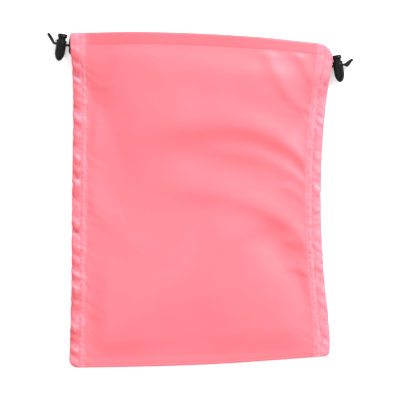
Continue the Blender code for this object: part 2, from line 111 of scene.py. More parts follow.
LOCK_LENGTH = 25.0 * MM
LONG_NOSE = 9.0 * MM
HEAD_HEIGHT = 3.2 * MM
TRAVEL = 2.2 * MM
HOLE_HEIGHT = 15.5 * MM
LOCK_TILT = math.radians(9.0)
STRAND_PITCH = CORD + GAP + 0.05 * MM
SLOT_WIDTH = STRAND_PITCH + CORD + 2 * GAP
SLOT_HEIGHT = CORD + 2 * GAP
STEM_RADIUS = SLOT_WIDTH / 2 + 0.78 * MM
BORE_RADIUS = STEM_RADIUS + GAP
LOCK_RADIUS = BORE_RADIUS + 0.95 * MM
HEAD_RADIUS = LOCK_RADIUS - 0.25 * MM
LOW_STRAND = LOCK_RADIUS + GAP - STRAND_PITCH / 2
HIGH_STRAND = LOW_STRAND + STRAND_PITCH
MOUTH_HEIGHT = LOCK_LENGTH - HEAD_HEIGHT - TRAVEL - GAP
STEM_BOTTOM = HOLE_HEIGHT - SLOT_HEIGHT / 2 - 1.3 * MM
BORE_FLOOR = STEM_BOTTOM - TRAVEL - 0.4 * MM
SPRING_BORE = 2.3 * MM
SPRING_FLOOR = 2.5 * MM
SPRING_RADIUS = 1.7 * MM
SPRING_TURNS = 5.5
SPRING_CLOSED = 0.6
SPRING_END_RISE = 0.15 * MM
WIRE = 0.6 * MM
SLOT_BASE = HOLE_HEIGHT - SLOT_HEIGHT / 2
GRIP_LOW, GRIP_HIGH = 4.5 * MM, 12.0 * MM
BARREL_RIM = 0.12 * MM
PLUNGER_RIM = 0.10 * MM
SHARP_ANGLE = math.radians(50)    # edges sharper than this are bevelled and stay sharp


def through_hole(height):
    """A strand's straight run through the lock's cord hole."""
    return [(out, 0.0, height / MM) for out in (5.8, 4.7, 0.0, -4.7)]


# Strands of the drawcords beside their locks, in millimetres: distance outwards from the
# lock's cord hole, distance down towards the lock's tip, and height above the floor.
LEFT_HIGH_EXIT = through_hole(HIGH_STRAND) + [
    (-6.8, 0.0, 6.28), (-7.8, -0.6, 6.35), (-8.0, -2.4, 6.4), (-7.7, -4.8, 6.6),
    (-8.2, -6.8, 6.7), (-10.4, -7.9, 6.8), (-16.1, -7.6, 6.9)]
LEFT_LOW_EXIT = through_hole(LOW_STRAND) + [
    (-6.9, 0.0, 3.7), (-8.1, 0.8, 3.4), (-8.5, 3.0, 3.1), (-8.8, 5.4, 2.8),
    (-10.2, 7.0, 2.6), (-13.0, 6.8, 2.5), (-16.0, 2.7, 2.3), (-18.4, -2.7, 2.2)]
LEFT_HIGH_TAIL = [(6.9, -0.2, 6.25), (8.3, -2.4, 5.6), (10.0, -4.9, 4.7), (12.4, -7.3, 4.0)]
LEFT_LOW_TAIL = [(6.9, -0.15, 3.7), (8.8, -2.0, 3.2), (10.8, -4.3, 2.7), (12.9, -6.5, 2.2)]
RIGHT_HIGH_EXIT = through_hole(HIGH_STRAND) + [
    (-5.7, 0.0, 6.3), (-7.2, -0.3, 6.4), (-8.9, -1.7, 6.4), (-9.4, -4.4, 6.5),
    (-9.0, -8.2, 6.6), (-9.6, -11.8, 6.8)]
RIGHT_LOW_EXIT = through_hole(LOW_STRAND) + [
    (-5.7, 0.0, 3.6), (-7.2, -0.3, 3.2), (-8.9, -1.7, 2.8), (-9.4, -4.4, 2.4),
    (-9.0, -8.2, 2.2), (-9.6, -11.8, 2.1)]
RIGHT_HIGH_TAIL = [(6.9, -0.15, 6.25), (8.9, -1.4, 5.4), (11.1, -2.5, 4.7), (13.0, -3.3, 4.3)]
RIGHT_LOW_TAIL = [(6.9, 0.25, 3.7), (7.9, 1.2, 3.2), (8.9, 1.1, 2.8), (10.1, 0.1, 2.4),
                  (11.5, -1.3, 2.2), (12.8, -2.4, 2.2)]
LEFT_STRANDS = ((LEFT_HIGH_EXIT, LEFT_HIGH_TAIL), (LEFT_LOW_EXIT, LEFT_LOW_TAIL))
RIGHT_STRANDS = ((RIGHT_HIGH_EXIT, RIGHT_HIGH_TAIL), (RIGHT_LOW_EXIT, RIGHT_LOW_TAIL))
# A drawcord's drop in its casings, and how far from the near and the far edge it runs there
LEFT_RUN = (7.2 * MM, 14.5 * MM, 17.3 * MM)
RIGHT_RUN = (3.9 * MM, 10.8 * MM, 4.3 * MM)
CORD_STEP = 0.45 * MM

# ---- sewing
OUTER_ROW = 8.4 * MM          # side stitch rows, from the edge
INNER_ROW = 12.9 * MM
HEM_ROW = 10.6 * MM           # casing stitch row, from the top edge
BOTTOM_ROW = 2.9 * MM         # bottom stitch row, from the bottom edge
HEM_DOWN = 8.7 * MM           # where the turned-in layer starts down to the panel
HEM_FLAT = 9.9 * MM           # where it lies on the panel
HEM_END = 12.2 * MM
# Rows of the turned-in layer of a casing, by their drop
INNER_DROPS = np.array([3.2, 5.0, 7.0, 8.7, 9.1, 9.5, 9.9, 10.6, 11.4, 12.2]) * MM
STRIP_CLOTH = 0.2 * MM
LEFT_EDGE_WAVES = (9 * MM, 14 * MM, 25 * MM)
RIGHT_EDGE_WAVES = (8 * MM, 15 * MM, 27 * MM)
# Wavelength and depth of the laid cloth's ripples, in millimetres
RIPPLES = ((120, 0.45), (83, 0.25), (57, 0.14), (39, 0.07), (23, 0.04), (14, 0.02))


# ---- shape functions
def smooth_step(value):
    """0 below 0, 1 above 1, and the cubic S curve 3t^2 - 2t^3 between."""
    t = np.clip(value, 0.0, 1.0)
    return t * t * (3.0 - 2.0 * t)


def bell(distance, width):
    """Gaussian bell: 1 on the line and about a third at one width from it."""
    return np.exp(-(distance / width) ** 2)


def hermite(y, slope, i, s, h):
    """Cubic Hermite curve between points i and i + 1, at the share s of a step of length h."""
    return ((1 + 2 * s) * (1 - s) ** 2 * y[i] + s * (1 - s) ** 2 * h * slope[i]
            + s * s * (3 - 2 * s) * y[i + 1] + s * s * (s - 1) * h * slope[i + 1])


def edge_offset(points, t):
    """Smooth curve through (fraction, millimetres) points, in metres."""
    x, y = np.array(points).T
    y = y * MM
    t = np.clip(t, 0.0, 1.0)
    i = np.clip(np.searchsorted(x, t, side="right") - 1, 0, len(x) - 2)
    h = x[i + 1] - x[i]
    return hermite(y, np.gradient(y, x), i, (t - x[i]) / h, h)


def round_corner(a, b, radius):
    """Bend the square corner at a = b = 0 onto a quarter circle by the elliptical mapping."""
    p = np.clip(radius - a, 0.0, radius)
    q = np.clip(radius - b, 0.0, radius)
    new_a = a + p * (1 - np.sqrt(1 - q * q / (2 * radius * radius)))
    new_b = b + q * (1 - np.sqrt(1 - p * p / (2 * radius * radius)))
    return new_a, new_b


def plan(u, v):
    """Plan position: blend of the left and right edge curves by u, bottom and top ones by v."""
    a, b = np.broadcast_arrays(np.asarray(u, float) * WIDTH, np.asarray(v, float) * LENGTH)
    a, b = round_corner(a, b, BOTTOM_LEFT_RADIUS)
    right, b = round_corner(WIDTH - a, b, BOTTOM_RIGHT_RADIUS)
    right, top = round_corner(right, LENGTH - b, TOP_RIGHT_RADIUS)
    a, top = round_corner(WIDTH - right, top, TOP_LEFT_RADIUS)
    u, v, up = a / WIDTH, 1.0 - top / LENGTH, LENGTH - top
    sewn = smooth_step(top / (30 * MM)) * smooth_step(up / (10 * MM))
    beside_lock = smooth_step((top - 50 * MM) / (14 * MM))
    left_x = (-WIDTH / 2 + edge_offset(LEFT_EDGE, v) - 0.7 * MM * smooth_step((23 * MM - top) / (5 * MM))
              + 0.55 * MM * sewn * seam_wave(up, LEFT_EDGE_WAVES, 5))
    right_x = (WIDTH / 2 + edge_offset(RIGHT_EDGE, v)
               + 0.35 * MM * sewn * beside_lock * seam_wave(up, RIGHT_EDGE_WAVES, 6))
    low_y = -LENGTH / 2 + edge_offset(BOTTOM_EDGE, u)
    top_y = LENGTH / 2 + edge_offset(TOP_EDGE, u)
    return left_x + u * (right_x - left_x), low_y + v * (top_y - low_y)


def slit_lift(u, drop, ramp):
    """1 beside the mouth, where the panels stand apart, falling to 0 below the side slits."""
    slit = SLIT_LEFT + (SLIT_RIGHT - SLIT_LEFT) * u
    return smooth_step((slit + ramp - drop) / ramp)


def front_height(u, drop):
    """Height of the front panel's middle without folds.

    The seam height plus a low pillow: near the seams the pillow climbs as 1-(1-t)^2 mixed with
    a smooth step, and its lift at the mouth eases off further down in the middle of the panel.
    """
    side = np.minimum(u, 1.0 - u) * WIDTH
    middle = smooth_step(side / (70 * MM))
    base = FRONT_Z + (FRONT_HEM_Z - FRONT_Z) * slit_lift(u, drop, SLIT_RAMP + 105 * MM * middle)
    lower = smooth_step(drop / (80 * MM))
    t = np.clip((side - SEAM_BAND) / (RISE_WIDTH + 45 * MM * lower), 0.0, 1.0)
    across = 0.6 * smooth_step(t) + 0.4 * (1.0 - (1.0 - t) ** 2)
    t = np.clip((LENGTH - drop - BOTTOM_BAND) / RISE_LENGTH, 0.0, 1.0)
    up = 0.3 * smooth_step(t) + 0.7 * (1.0 - (1.0 - t) ** 3)
    mouth = smooth_step(1.0 - drop / (110 * MM))
    low_end = 1.0 - 0.25 * smooth_step((drop - 60 * MM) / (230 * MM))
    return base + (BODY_RISE + (MOUTH_RISE - BODY_RISE) * mouth) * low_end * up * across


# ---- cloth detail
# Soft folds of the front panel in plan, in millimetres: the crest's start, control and end
# points, its height, the width of its steep side (right of the way from start to end), the
# width of its gentle side, the share of both widths that is left at the end, and the share of
# its length over which it fades in.  A negative height makes a valley.
FOLDS = [
    ((-88, 50), (56, 98), (101, 29), 4.8, 21.0, 28.0, 0.22, 0.28),
    ((-10, 46), (64, 50), (101, 10), 1.8, 11.0, 10.0, 0.45, 0.28),
    ((-62, 14), (50, 18), (100, -40), 3.5, 17.0, 24.0, 0.3, 0.28),
    ((74, 14), (88, 8), (101, -5), 1.0, 4.0, 6.0, 0.8, 0.28),
    ((50, -20), (74, -48), (100, -86), -3.2, 16.0, 13.0, 0.7, 0.28),
    ((74, -34), (92, -39), (107, -50), 1.9, 6.0, 7.0, 0.8, 0.28),
    ((76, -60), (91, -63), (107, -71), 1.2, 4.5, 6.0, 0.8, 0.28),
    ((84, 146), (92, 127), (105, 106), 1.7, 5.0, 8.0, 0.8, 0.1),
    ((60, 150), (64, 106), (98, 81), 1.9, 8.0, 12.0, 0.55, 0.15),
    ((40, 170), (60, 114), (104, 56), 5.0, 70.0, 34.0, 0.8, 0.05),
    ((94, 83), (98, 79), (105, 71), -1.1, 2.4, 2.4, 0.9, 0.28),
    ((-62, 152), (-80, 106), (-97, 58), 2.2, 12.0, 20.0, 0.9, 0.05),
    ((-74, 104), (-92, 55), (-78, 8), -2.1, 15.0, 24.0, 1.0, 0.28),
    ((-106, 16), (-97, -12), (-64, -42), 1.5, 8.0, 11.0, 1.3, 0.3),
    ((0, -10), (54, -56), (86, -142), 4.6, 90.0, 32.0, 1.0, 0.28),
]

SWELL_X, SWELL_Y = -66 * MM, -96 * MM
SWELL_HEIGHT = 6.4 * MM


def curve_reach(x, y, points):
    """Signed distance to a quadratic curve, positive at its left, and the share of it passed.

    The curve is (1-t)^2 A + 2t(1-t) B + t^2 C cut into short chords.  Each point is dropped
    onto every chord, and the nearest foot gives the distance and t.
    """
    chords = 24
    a, b, c = (np.array(p, float) * MM for p in points)
    t = np.linspace(0.0, 1.0, chords + 1)[:, None]
    path = (1 - t) ** 2 * a + 2 * t * (1 - t) * b + t * t * c
    step = np.diff(path, axis=0)
    dx = x[..., None] - path[:-1, 0]
    dy = y[..., None] - path[:-1, 1]
    share = np.clip((dx * step[:, 0] + dy * step[:, 1]) / (step ** 2).sum(axis=1), 0.0, 1.0)
    away = np.hypot(dx - share * step[:, 0], dy - share * step[:, 1])
    nearest = np.argmin(away, axis=-1)[..., None]
    cross = np.take_along_axis(step[:, 0] * dy - step[:, 1] * dx, nearest, -1)[..., 0]
    distance = np.take_along_axis(away, nearest, -1)[..., 0]
    passed = (nearest[..., 0] + np.take_along_axis(share, nearest, -1)[..., 0]) / chords
    return np.where(cross < 0, -distance, distance), passed


def ease_off(lift, room, length):
    """Bring a height down to nothing at the stitch rows, over the given length."""
    for space in room:
        lift = lift * smooth_step(space / length)
    return lift


def fold_height(x, y, room, fold):
    """Height of one fold: a bell across its crest, wider on the left of it than on the right.

    Both widths shrink towards the end, and the height fades in from the start.  room holds the
    distances to the stitch rows, and the fold eases off to nothing there over a length that
    goes with its own width.
    """
    start, middle, end, height, steep, gentle, taper, fade = fold
    distance, t = curve_reach(x, y, (start, middle, end))
    narrow = 1.0 + (taper - 1.0) * t
    width = np.where(distance < 0, steep, gentle) * MM * narrow
    ease = np.clip(1.1 * steep * narrow, 6.0, 28.0) * MM
    lift = height * MM * bell(distance, width) * smooth_step(t / fade) * (1.0 - 0.3 * t)
    return ease_off(lift, room, ease)


def corner_swell(x, y, room):
    """Round swell that stands up quickly beside the two seams at the lower left corner."""
    x, y = x - SWELL_X, y - SWELL_Y
    lift = SWELL_HEIGHT * bell(0.8 * x - 0.6 * y, 40 * MM) * bell(0.6 * x + 0.8 * y, 52 * MM)
    return ease_off(lift, room, 23 * MM)


def seam_wave(s, lengths, seed):
    """Uneven wave along a seam: sines of the given wavelengths, phases drawn from the seed."""
    rng = np.random.default_rng(seed)
    total = np.zeros_like(s)
    for length in lengths:
        phase = rng.uniform(0, 2 * math.pi, 3)
        drift = 1.3 * np.sin(2 * math.pi * s / (length * 6.3) + phase[1])
        swell = 0.65 + 0.35 * np.sin(2 * math.pi * s / (length * 4.1) + phase[2])
        total = total + swell * np.sin(2 * math.pi * s / length + drift + phase[0])
    return total / len(lengths)


def crumple(x, y, seed):
    """Fine crushed look of a gathered seam: eight short sine waves in drawn directions."""
    rng = np.random.default_rng(seed)
    total = np.zeros_like(x)
    for length in np.linspace(3.2, 7.5, 8) * MM:
        angle, phase, turn = rng.uniform(0, 2 * math.pi, 3)
        along = (x * math.cos(angle) + y * math.sin(angle)) / length
        bend = 1.1 * np.sin((x * math.cos(turn) + y * math.sin(turn)) / (1.9 * length) + phase)
        total = total + np.sin(2 * math.pi * along + phase + bend) * length / (7.5 * MM)
    return total / 3.0


SIDE_GATHERS = (
    # left, then right: wavelengths in metres, lean of the crests, depth, seed
    ((12 * MM, 16 * MM, 31 * MM), 0.6, 1.8, 11),
    ((11 * MM, 16 * MM, 27 * MM), -0.8, 0.8, 23),
)


def gather_wave(edge, s, gathers):
    """The uneven wave that pinches a side band: about -1 in a pinch and 1 on a puff."""
    lengths, slant, _, seed = gathers
    return 1.8 * seam_wave(s + slant * edge, lengths, seed)


def puckers(edge, s, gathers):
    """Gathers along one side seam.

    Outside the outer stitch row the cloth is a low tube pinched at uneven places: a half sine
    across times one plus the gather wave.  Between the rows a finer wave, and inside the inner
    row short folds that die out over two band widths.
    """
    lengths, slant, depth, seed = gathers
    tube = np.sin(math.pi * np.clip(edge / OUTER_ROW, 0.0, 1.0)) ** 0.8
    between = bell(edge - (OUTER_ROW + INNER_ROW) / 2, 1.6 * MM)
    inside = smooth_step((edge - INNER_ROW) / (4 * MM)) * np.exp(
        -np.maximum(edge - INNER_ROW, 0.0) / (8 * MM))
    strong = gather_wave(edge, s, gathers)
    fine = seam_wave(s + 0.5 * slant * edge, [0.45 * length for length in lengths], seed + 1)
    soft = seam_wave(s + 0.9 * slant * edge, [0.9 * length for length in lengths], seed + 2)
    crushed = crumple(edge, s, seed + 3) * 0.2 * smooth_step((22 * MM - edge) / (12 * MM))
    return MM * depth * (tube * (0.8 + 0.75 * strong + 0.3 * fine)
                         + between * (0.3 + 0.4 * fine) + 0.5 * inside * soft
                         + crushed * smooth_step(edge / (1.5 * MM)))


def stitch_pull(distance, s, pitch):
    """Groove of a stitch row, deeper at each needle hole."""
    holes = 0.75 + 0.25 * np.cos(2 * math.pi * s / pitch)
    return -0.30 * MM * bell(distance, 0.8 * MM) * holes


def edge_roll(edge, radius):
    """Drop of the cloth where it turns down at its edge, a quarter circle in section."""
    inside = np.clip(1.0 - edge / radius, 0.0, 1.0)
    return radius * (1.0 - np.sqrt(1.0 - inside * inside))


def ripples(x, y):
    """Shallow unevenness of laid cloth: six sine waves in different directions."""
    rng = np.random.default_rng(7)
    total = np.zeros_like(x)
    for length, depth in RIPPLES:
        angle, phase = rng.uniform(0, 2 * math.pi, 2)
        along = (x * math.cos(angle) + y * math.sin(angle)) / (length * MM)
        away = (x * math.sin(angle) - y * math.cos(angle)) / (1.7 * length * MM)
        bend = 0.8 * np.sin(2 * math.pi * away)
        total = total + depth * MM * np.sin(2 * math.pi * along + phase + bend)
    return total


def seam_detail(u, drop, sizes):
    """Height that the gathers and stitch rows add along the four edges."""
    across = u * WIDTH
    bottom = LENGTH - drop
    pitch = sizes.stitch_pitch
    ends = smooth_step(bottom / (5 * MM)) * (1.0 - 0.75 * slit_lift(u, drop, SLIT_RAMP)) * sizes.pucker
    height = (stitch_pull(drop - HEM_ROW, across, pitch) * 0.6
              + stitch_pull(bottom - BOTTOM_ROW, across, pitch) * 0.8)
    for edge, gathers in zip((across, WIDTH - across), SIDE_GATHERS):
        height = height + ends * puckers(edge, bottom, gathers)
        for row in (OUTER_ROW, INNER_ROW):
            height = height + stitch_pull(edge - row, bottom, pitch)
    middle = smooth_step(np.minimum(across, WIDTH - across) / (14 * MM))
    hem = smooth_step((HEM_ROW + 6 * MM - drop) / (6 * MM)) * middle
    low = smooth_step((9 * MM - bottom) / (9 * MM)) * middle
    return (height + hem * 0.22 * MM * seam_wave(across + 0.5 * drop, [13 * MM, 24 * MM], 41)
            + low * 0.20 * MM * seam_wave(across - 0.6 * bottom, [11 * MM, 19 * MM], 43))


def body_detail(u, drop):
    """Height of the ripples and folds between the seams."""
    x, y = plan(u, 1.0 - drop / LENGTH)
    side = np.minimum(u, 1.0 - u) * WIDTH
    bottom = LENGTH - drop
    room = (side - INNER_ROW, bottom - BOTTOM_ROW, drop - HEM_ROW)
    height = ease_off(ripples(x, y), room, 20 * MM)
    for fold in FOLDS:
        height = height + fold_height(x, y, room, fold)
    return height + corner_swell(x, y, room)


def edge_distance(u, drop):
    """Distance to the nearest of the side and bottom edges."""
    return np.minimum(np.minimum(u, 1.0 - u) * WIDTH, LENGTH - drop)


def front_point(u, drop, sizes):
    """Place of the front panel's outer layer: CAD height, plus detail, less the edge roll."""
    u, drop = np.broadcast_arrays(np.asarray(u, float), np.asarray(drop, float))
    x, y = plan(u, 1.0 - drop / LENGTH)
    seam = np.maximum(seam_detail(u, drop, sizes), -0.45 * MM)
    roll = edge_roll(edge_distance(u, drop), 0.9 * MM)
    return x, y, front_height(u, drop) + body_detail(u, drop) + seam - roll


def back_point(u, drop, sizes):
    """Place of the back panel's outer layer, flat on the floor but for shallow gathers."""
    u, drop = np.broadcast_arrays(np.asarray(u, float), np.asarray(drop, float))
    x, y = plan(u, 1.0 - drop / LENGTH)
    seam = 0.3 * np.clip(-seam_detail(u, drop, sizes), 0.0, 0.9 * MM)
    return x, y, BACK_Z + seam + edge_roll(edge_distance(u, drop), 0.75 * MM)


# ---- mesh helpers
def new_mesh(name, points, faces, smooth=True):
    mesh = bpy.data.meshes.new(name)
    mesh.from_pydata(points, [], faces)
    mesh.update()
    if smooth:
        mesh.shade_smooth()
    item = bpy.data.objects.new(name, mesh)
    bpy.context.scene.collection.objects.link(item)
    return item


def grid_faces(rows, columns, close_columns=False):
    """Quads of a rows x columns grid of points, its columns joined round where asked."""
    r, c = np.meshgrid(np.arange(rows - 1), np.arange(columns if close_columns else columns - 1),
                       indexing="ij")
    n = (c + 1) % columns
    faces = np.stack([r * columns + c, r * columns + n, (r + 1) * columns + n, (r + 1) * columns + c], -1)
    return faces.reshape(-1, 4)


def capped_faces(rows, segments):
    """Quads of stacked rings, and the triangles that close both ends onto two poles."""
    faces = grid_faces(rows, segments, close_columns=True).tolist()
    first, last, top = rows * segments, rows * segments + 1, (rows - 1) * segments
    for r in range(segments):
        n = (r + 1) % segments
        faces += [(first, n, r), (last, top + r, top + n)]
    return faces


def write_uv(item, uv):
    """UV map in metres of cloth, from one pair a vertex."""
    layer = item.data.uv_layers.new(name="cloth")
    loops = np.empty(len(item.data.loops), dtype=np.int32)
    item.data.loops.foreach_get("vertex_index", loops)
    layer.data.foreach_set("uv", uv[loops].ravel())


def grid_mesh(name, x, y, z, uv=None, flip=False):
    """Mesh of a grid surface, with its UV map where given."""
    faces = grid_faces(*x.shape)
    item = new_mesh(name, np.stack([x, y, z], -1).reshape(-1, 3), faces[:, ::-1] if flip else faces)
    if uv is not None:
        write_uv(item, np.stack(uv, -1).reshape(-1, 2))
    return item


def point_attribute(item, name, values):
    layer = item.data.attributes.new(name, "FLOAT", "POINT")
    layer.data.foreach_set("value", np.asarray(values, np.float32).ravel())


def solidify(item, thickness):
    modifier = item.modifiers.new("thickness", "SOLIDIFY")
    modifier.thickness = thickness
    modifier.offset = 0.0


def place(item, body, slot_name, *nodes):
    """Ride on a body and stand for CAD nodes, which are hidden; slot_name is not used."""
    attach(item, body)
    if nodes:
        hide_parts(*nodes)


def dress(item, material):
    item.data.materials.clear()
    item.data.materials.append(material)


# ---- material helpers
def new_material(name, colour, roughness, **sockets):
    material = bpy.data.materials.new(name)
    material.use_nodes = True
    shader = material.node_tree.nodes["Principled BSDF"]
    shader.inputs["Base Color"].default_value = (*colour, 1.0)
    shader.inputs["Roughness"].default_value = roughness
    for socket, value in sockets.items():
        shader.inputs[socket.replace("_", " ")].default_value = value
    return material, material.node_tree, shader


def add(tree, kind, **settings):
    node = tree.nodes.new(kind)
    for name, value in settings.items():
        setattr(node, name, value)
    return node


def math_node(tree, operation, first, second=None):
    node = add(tree, "ShaderNodeMath", operation=operation)
    for socket, value in ((0, first), (1, second)):
        if value is None:
            continue
        if isinstance(value, (int, float)):
            node.inputs[socket].default_value = value
        else:
            tree.links.new(value, node.inputs[socket])
    return node.outputs[0]


def mix_colours(tree, factor, first, second):
    """Colour mix; each colour is a socket or a plain RGB triple."""
    node = add(tree, "ShaderNodeMix", data_type="RGBA")
    tree.links.new(factor, node.inputs["Factor"])
    for socket, value in ((6, first), (7, second)):
        if isinstance(value, tuple):
            node.inputs[socket].default_value = (*value, 1.0)
        else:
            tree.links.new(value, node.inputs[socket])
    return node.outputs[2]


def map_range(tree, value, low, high, to_low, to_high):
    node = add(tree, "ShaderNodeMapRange")
    tree.links.new(value, node.inputs["Value"])
    for name, number in (("From Min", low), ("From Max", high), ("To Min", to_low), ("To Max", to_high)):
        node.inputs[name].default_value = number
    return node.outputs["Result"]


def new_group(name, inputs, outputs):
    """Empty shader group with named float or vector inputs and outputs."""
    group = bpy.data.node_groups.new(name, "ShaderNodeTree")
    for label, kind, value in inputs:
        socket = group.interface.new_socket(label, in_out="INPUT", socket_type=kind)
        if value is not None:
            socket.default_value = value
    for label, kind in outputs:
        group.interface.new_socket(label, in_out="OUTPUT", socket_type=kind)
    return group, add(group, "NodeGroupInput"), add(group, "NodeGroupOutput")


def shade(colour, factor, lift=0.0):
    """The colour made paler or darker, each channel at most 1."""
    return tuple(min(1.0, factor * channel + lift) for channel in colour)


def noise_texture(tree, vector, scale, detail=2.0):
    node = add(tree, "ShaderNodeTexNoise")
    node.inputs["Scale"].default_value = scale
    node.inputs["Detail"].default_value = detail
    tree.links.new(vector, node.inputs["Vector"])
    return node.outputs["Fac"]


def diagonal_bands(tree, vector, scale, distortion):
    node = add(tree, "ShaderNodeTexWave", bands_direction="DIAGONAL")
    node.inputs["Scale"].default_value = scale
    node.inputs["Distortion"].default_value = distortion
    tree.links.new(vector, node.inputs["Vector"])
    return node.outputs["Fac"]


def weave_group():
    """Plain weave: warp and weft sines of one pitch, each on top in turn like a chessboard."""
    if "plain_weave" in bpy.data.node_groups:
        return bpy.data.node_groups["plain_weave"]
    group, source, sink = new_group(
        "plain_weave",
        [("Vector", "NodeSocketVector", None), ("Pitch", "NodeSocketFloat", 0.4 * MM)],
        [("Height", "NodeSocketFloat"), ("Slub", "NodeSocketFloat")])
    split = add(group, "ShaderNodeSeparateXYZ")
    group.links.new(source.outputs["Vector"], split.inputs[0])
    turn = math_node(group, "DIVIDE", math.pi, source.outputs["Pitch"])
    warp, weft = (math_node(group, "SINE", math_node(group, "MULTIPLY", split.outputs[axis], turn))
                  for axis in ("X", "Y"))
    product = math_node(group, "MULTIPLY", warp, weft)
    group.links.new(math_node(group, "MULTIPLY", product, 0.5), sink.inputs["Height"])
    group.links.new(noise_texture(group, source.outputs["Vector"], 420.0), sink.inputs["Slub"])
    return group


def wear_group():
    """Handling marks: large soft blotches and fine scuffs, both 0 to 1, on Object coordinates."""
    if "handling_wear" in bpy.data.node_groups:
        return bpy.data.node_groups["handling_wear"]
    group, source, sink = new_group(
        "handling_wear",
        [("Vector", "NodeSocketVector", None), ("Blotch Scale", "NodeSocketFloat", 30.0),
         ("Scuff Scale", "NodeSocketFloat", 700.0)],
        [("Blotch", "NodeSocketFloat"), ("Scuff", "NodeSocketFloat")])
    for label, detail in (("Blotch", 3.0), ("Scuff", 5.0)):
        noise = add(group, "ShaderNodeTexNoise")
        noise.inputs["Detail"].default_value = detail
        group.links.new(source.outputs["Vector"], noise.inputs["Vector"])
        group.links.new(source.outputs[label + " Scale"], noise.inputs["Scale"])
        group.links.new(noise.outputs["Fac"], sink.inputs[label])
    return group


def use_group(tree, group, vector, **values):
    node = add(tree, "ShaderNodeGroup", node_tree=group)
    tree.links.new(vector, node.inputs["Vector"])
    for name, value in values.items():
        node.inputs[name.replace("_", " ")].default_value = value
    return node


def bump(tree, shader, height, strength, distance, normal=None):
    node = add(tree, "ShaderNodeBump")
    node.inputs["Strength"].default_value = strength
    node.inputs["Distance"].default_value = distance
    tree.links.new(height, node.inputs["Height"])
    if normal is not None:
        tree.links.new(normal, node.inputs["Normal"])
    tree.links.new(node.outputs["Normal"], shader.inputs["Normal"])
    return node.outputs["Normal"]


def object_coordinates(tree):
    return add(tree, "ShaderNodeTexCoord").outputs["Object"]


# ---- materials
def point_mask(tree, name):
    return add(tree, "ShaderNodeAttribute", attribute_name=name).outputs["Fac"]


def cloth_uv(tree):
    return add(tree, "ShaderNodeUVMap", uv_map="cloth").outputs["UV"]


def nylon_material(name, colours, paler):
    """Coated nylon: deep coral as painted shade in hollows, paler where cloth stacks and as painted light on
    the right band, weave and fine crinkle.

    The mesh carries four masks: layers_and_light (paleness, partly painted light), shade_and_deep_tone
    (painted shade, and the hem's deeper coral), rim (painted shade at the very edge) and band (the side
    seams).
    """
    material, tree, shader = new_material(
        name, tuple(colours.nylon), 0.5, Specular_IOR_Level=0.4, Sheen_Weight=0.04,
        Sheen_Roughness=0.5)
    weave = use_group(tree, weave_group(), cloth_uv(tree), Pitch=0.42 * MM)
    place_on = object_coordinates(tree)
    wear = use_group(tree, wear_group(), place_on, Blotch_Scale=16.0, Scuff_Scale=260.0)
    mottle = use_group(tree, wear_group(), place_on, Blotch_Scale=150.0, Scuff_Scale=420.0)
    base = mix_colours(tree, map_range(tree, wear.outputs["Blotch"], 0.3, 0.7, 0.0, 1.0),
                       tuple(colours.nylon), tuple(colours.nylon_deep))
    # Painted shade: deep coral wherever the shade_and_deep_tone mask marks creases, puffs and the band's
    # lower left; the hem takes it as a deeper tone.
    base = mix_colours(tree, point_mask(tree, "shade_and_deep_tone"), base, tuple(colours.nylon_deep_tone_and_shade))
    # Paleness from stacked cloth, and painted light over the right band, in soft patches.
    patch = map_range(tree, mottle.outputs["Blotch"], 0.36, 0.62, 0.45, 1.0)
    paleness = math_node(tree, "MULTIPLY", point_mask(tree, "layers_and_light"),
                         math_node(tree, "MULTIPLY", patch, paler))
    base = mix_colours(tree, paleness, base, tuple(colours.nylon_pale))
    # Painted shade: mauve spots along the side bands for the shade of puckers and needle holes, and a mauve
    # line along the rim for the rolled edge.
    spots = map_range(tree, mottle.outputs["Scuff"], 0.52, 0.66, 0.0, 0.6)
    marks = math_node(tree, "MAXIMUM", math_node(tree, "MULTIPLY", point_mask(tree, "band"), spots),
                      math_node(tree, "MULTIPLY", point_mask(tree, "rim"), 0.6))
    base = mix_colours(tree, marks, base, tuple(colours.nylon_painted_shade))
    grain = map_range(tree, weave.outputs["Slub"], 0.3, 0.7, 0.0, 0.10)
    base = mix_colours(tree, grain, base, tuple(colours.nylon_deep_tone_and_shade))
    tree.links.new(base, shader.inputs["Base Color"])
    rough = map_range(tree, wear.outputs["Scuff"], 0.3, 0.7, 0.46, 0.58)
    tree.links.new(rough, shader.inputs["Roughness"])
    crinkle = bump(tree, shader, wear.outputs["Scuff"], 0.10, 0.5 * MM)
    bump(tree, shader, weave.outputs["Height"], 0.25, 0.05 * MM, crinkle)
    return material


def thread_material(colours):
    """Sewing thread: two-ply twist as fine diagonal bands, painted darker and lighter as shade and highlight,
    with a matching bump.
    """
    material, tree, shader = new_material("sewing_thread", tuple(colours.thread), 0.62, Sheen_Weight=0.3)
    twist = diagonal_bands(tree, object_coordinates(tree), 900.0, 1.5)
    # Painted shade and highlight: darker and lighter copies of the thread colour along the twist.
    tone = mix_colours(tree, twist, shade(colours.thread, 0.75), shade(colours.thread, 1.25))
    tree.links.new(tone, shader.inputs["Base Color"])
    bump(tree, shader, twist, 0.4, 0.05 * MM)
    return material


def cord_material(colours):
    """Black braided polyester: matt, with lighter filaments along each strand."""
    material, tree, shader = new_material("braided_cord", tuple(colours.cord), 0.75, Sheen_Weight=0.1,
                                          Sheen_Roughness=0.4, Specular_IOR_Level=0.15)
    strand = diagonal_bands(tree, cloth_uv(tree), 420.0, 2.0)
    speck = noise_texture(tree, object_coordinates(tree), 2600.0, 3.0)
    tone = mix_colours(tree, math_node(tree, "MULTIPLY", speck, strand), tuple(colours.cord),
                       shade(colours.cord, 3.2, 0.02))
    tree.links.new(tone, shader.inputs["Base Color"])
    bump(tree, shader, strand, 0.35, 0.08 * MM)
    return material


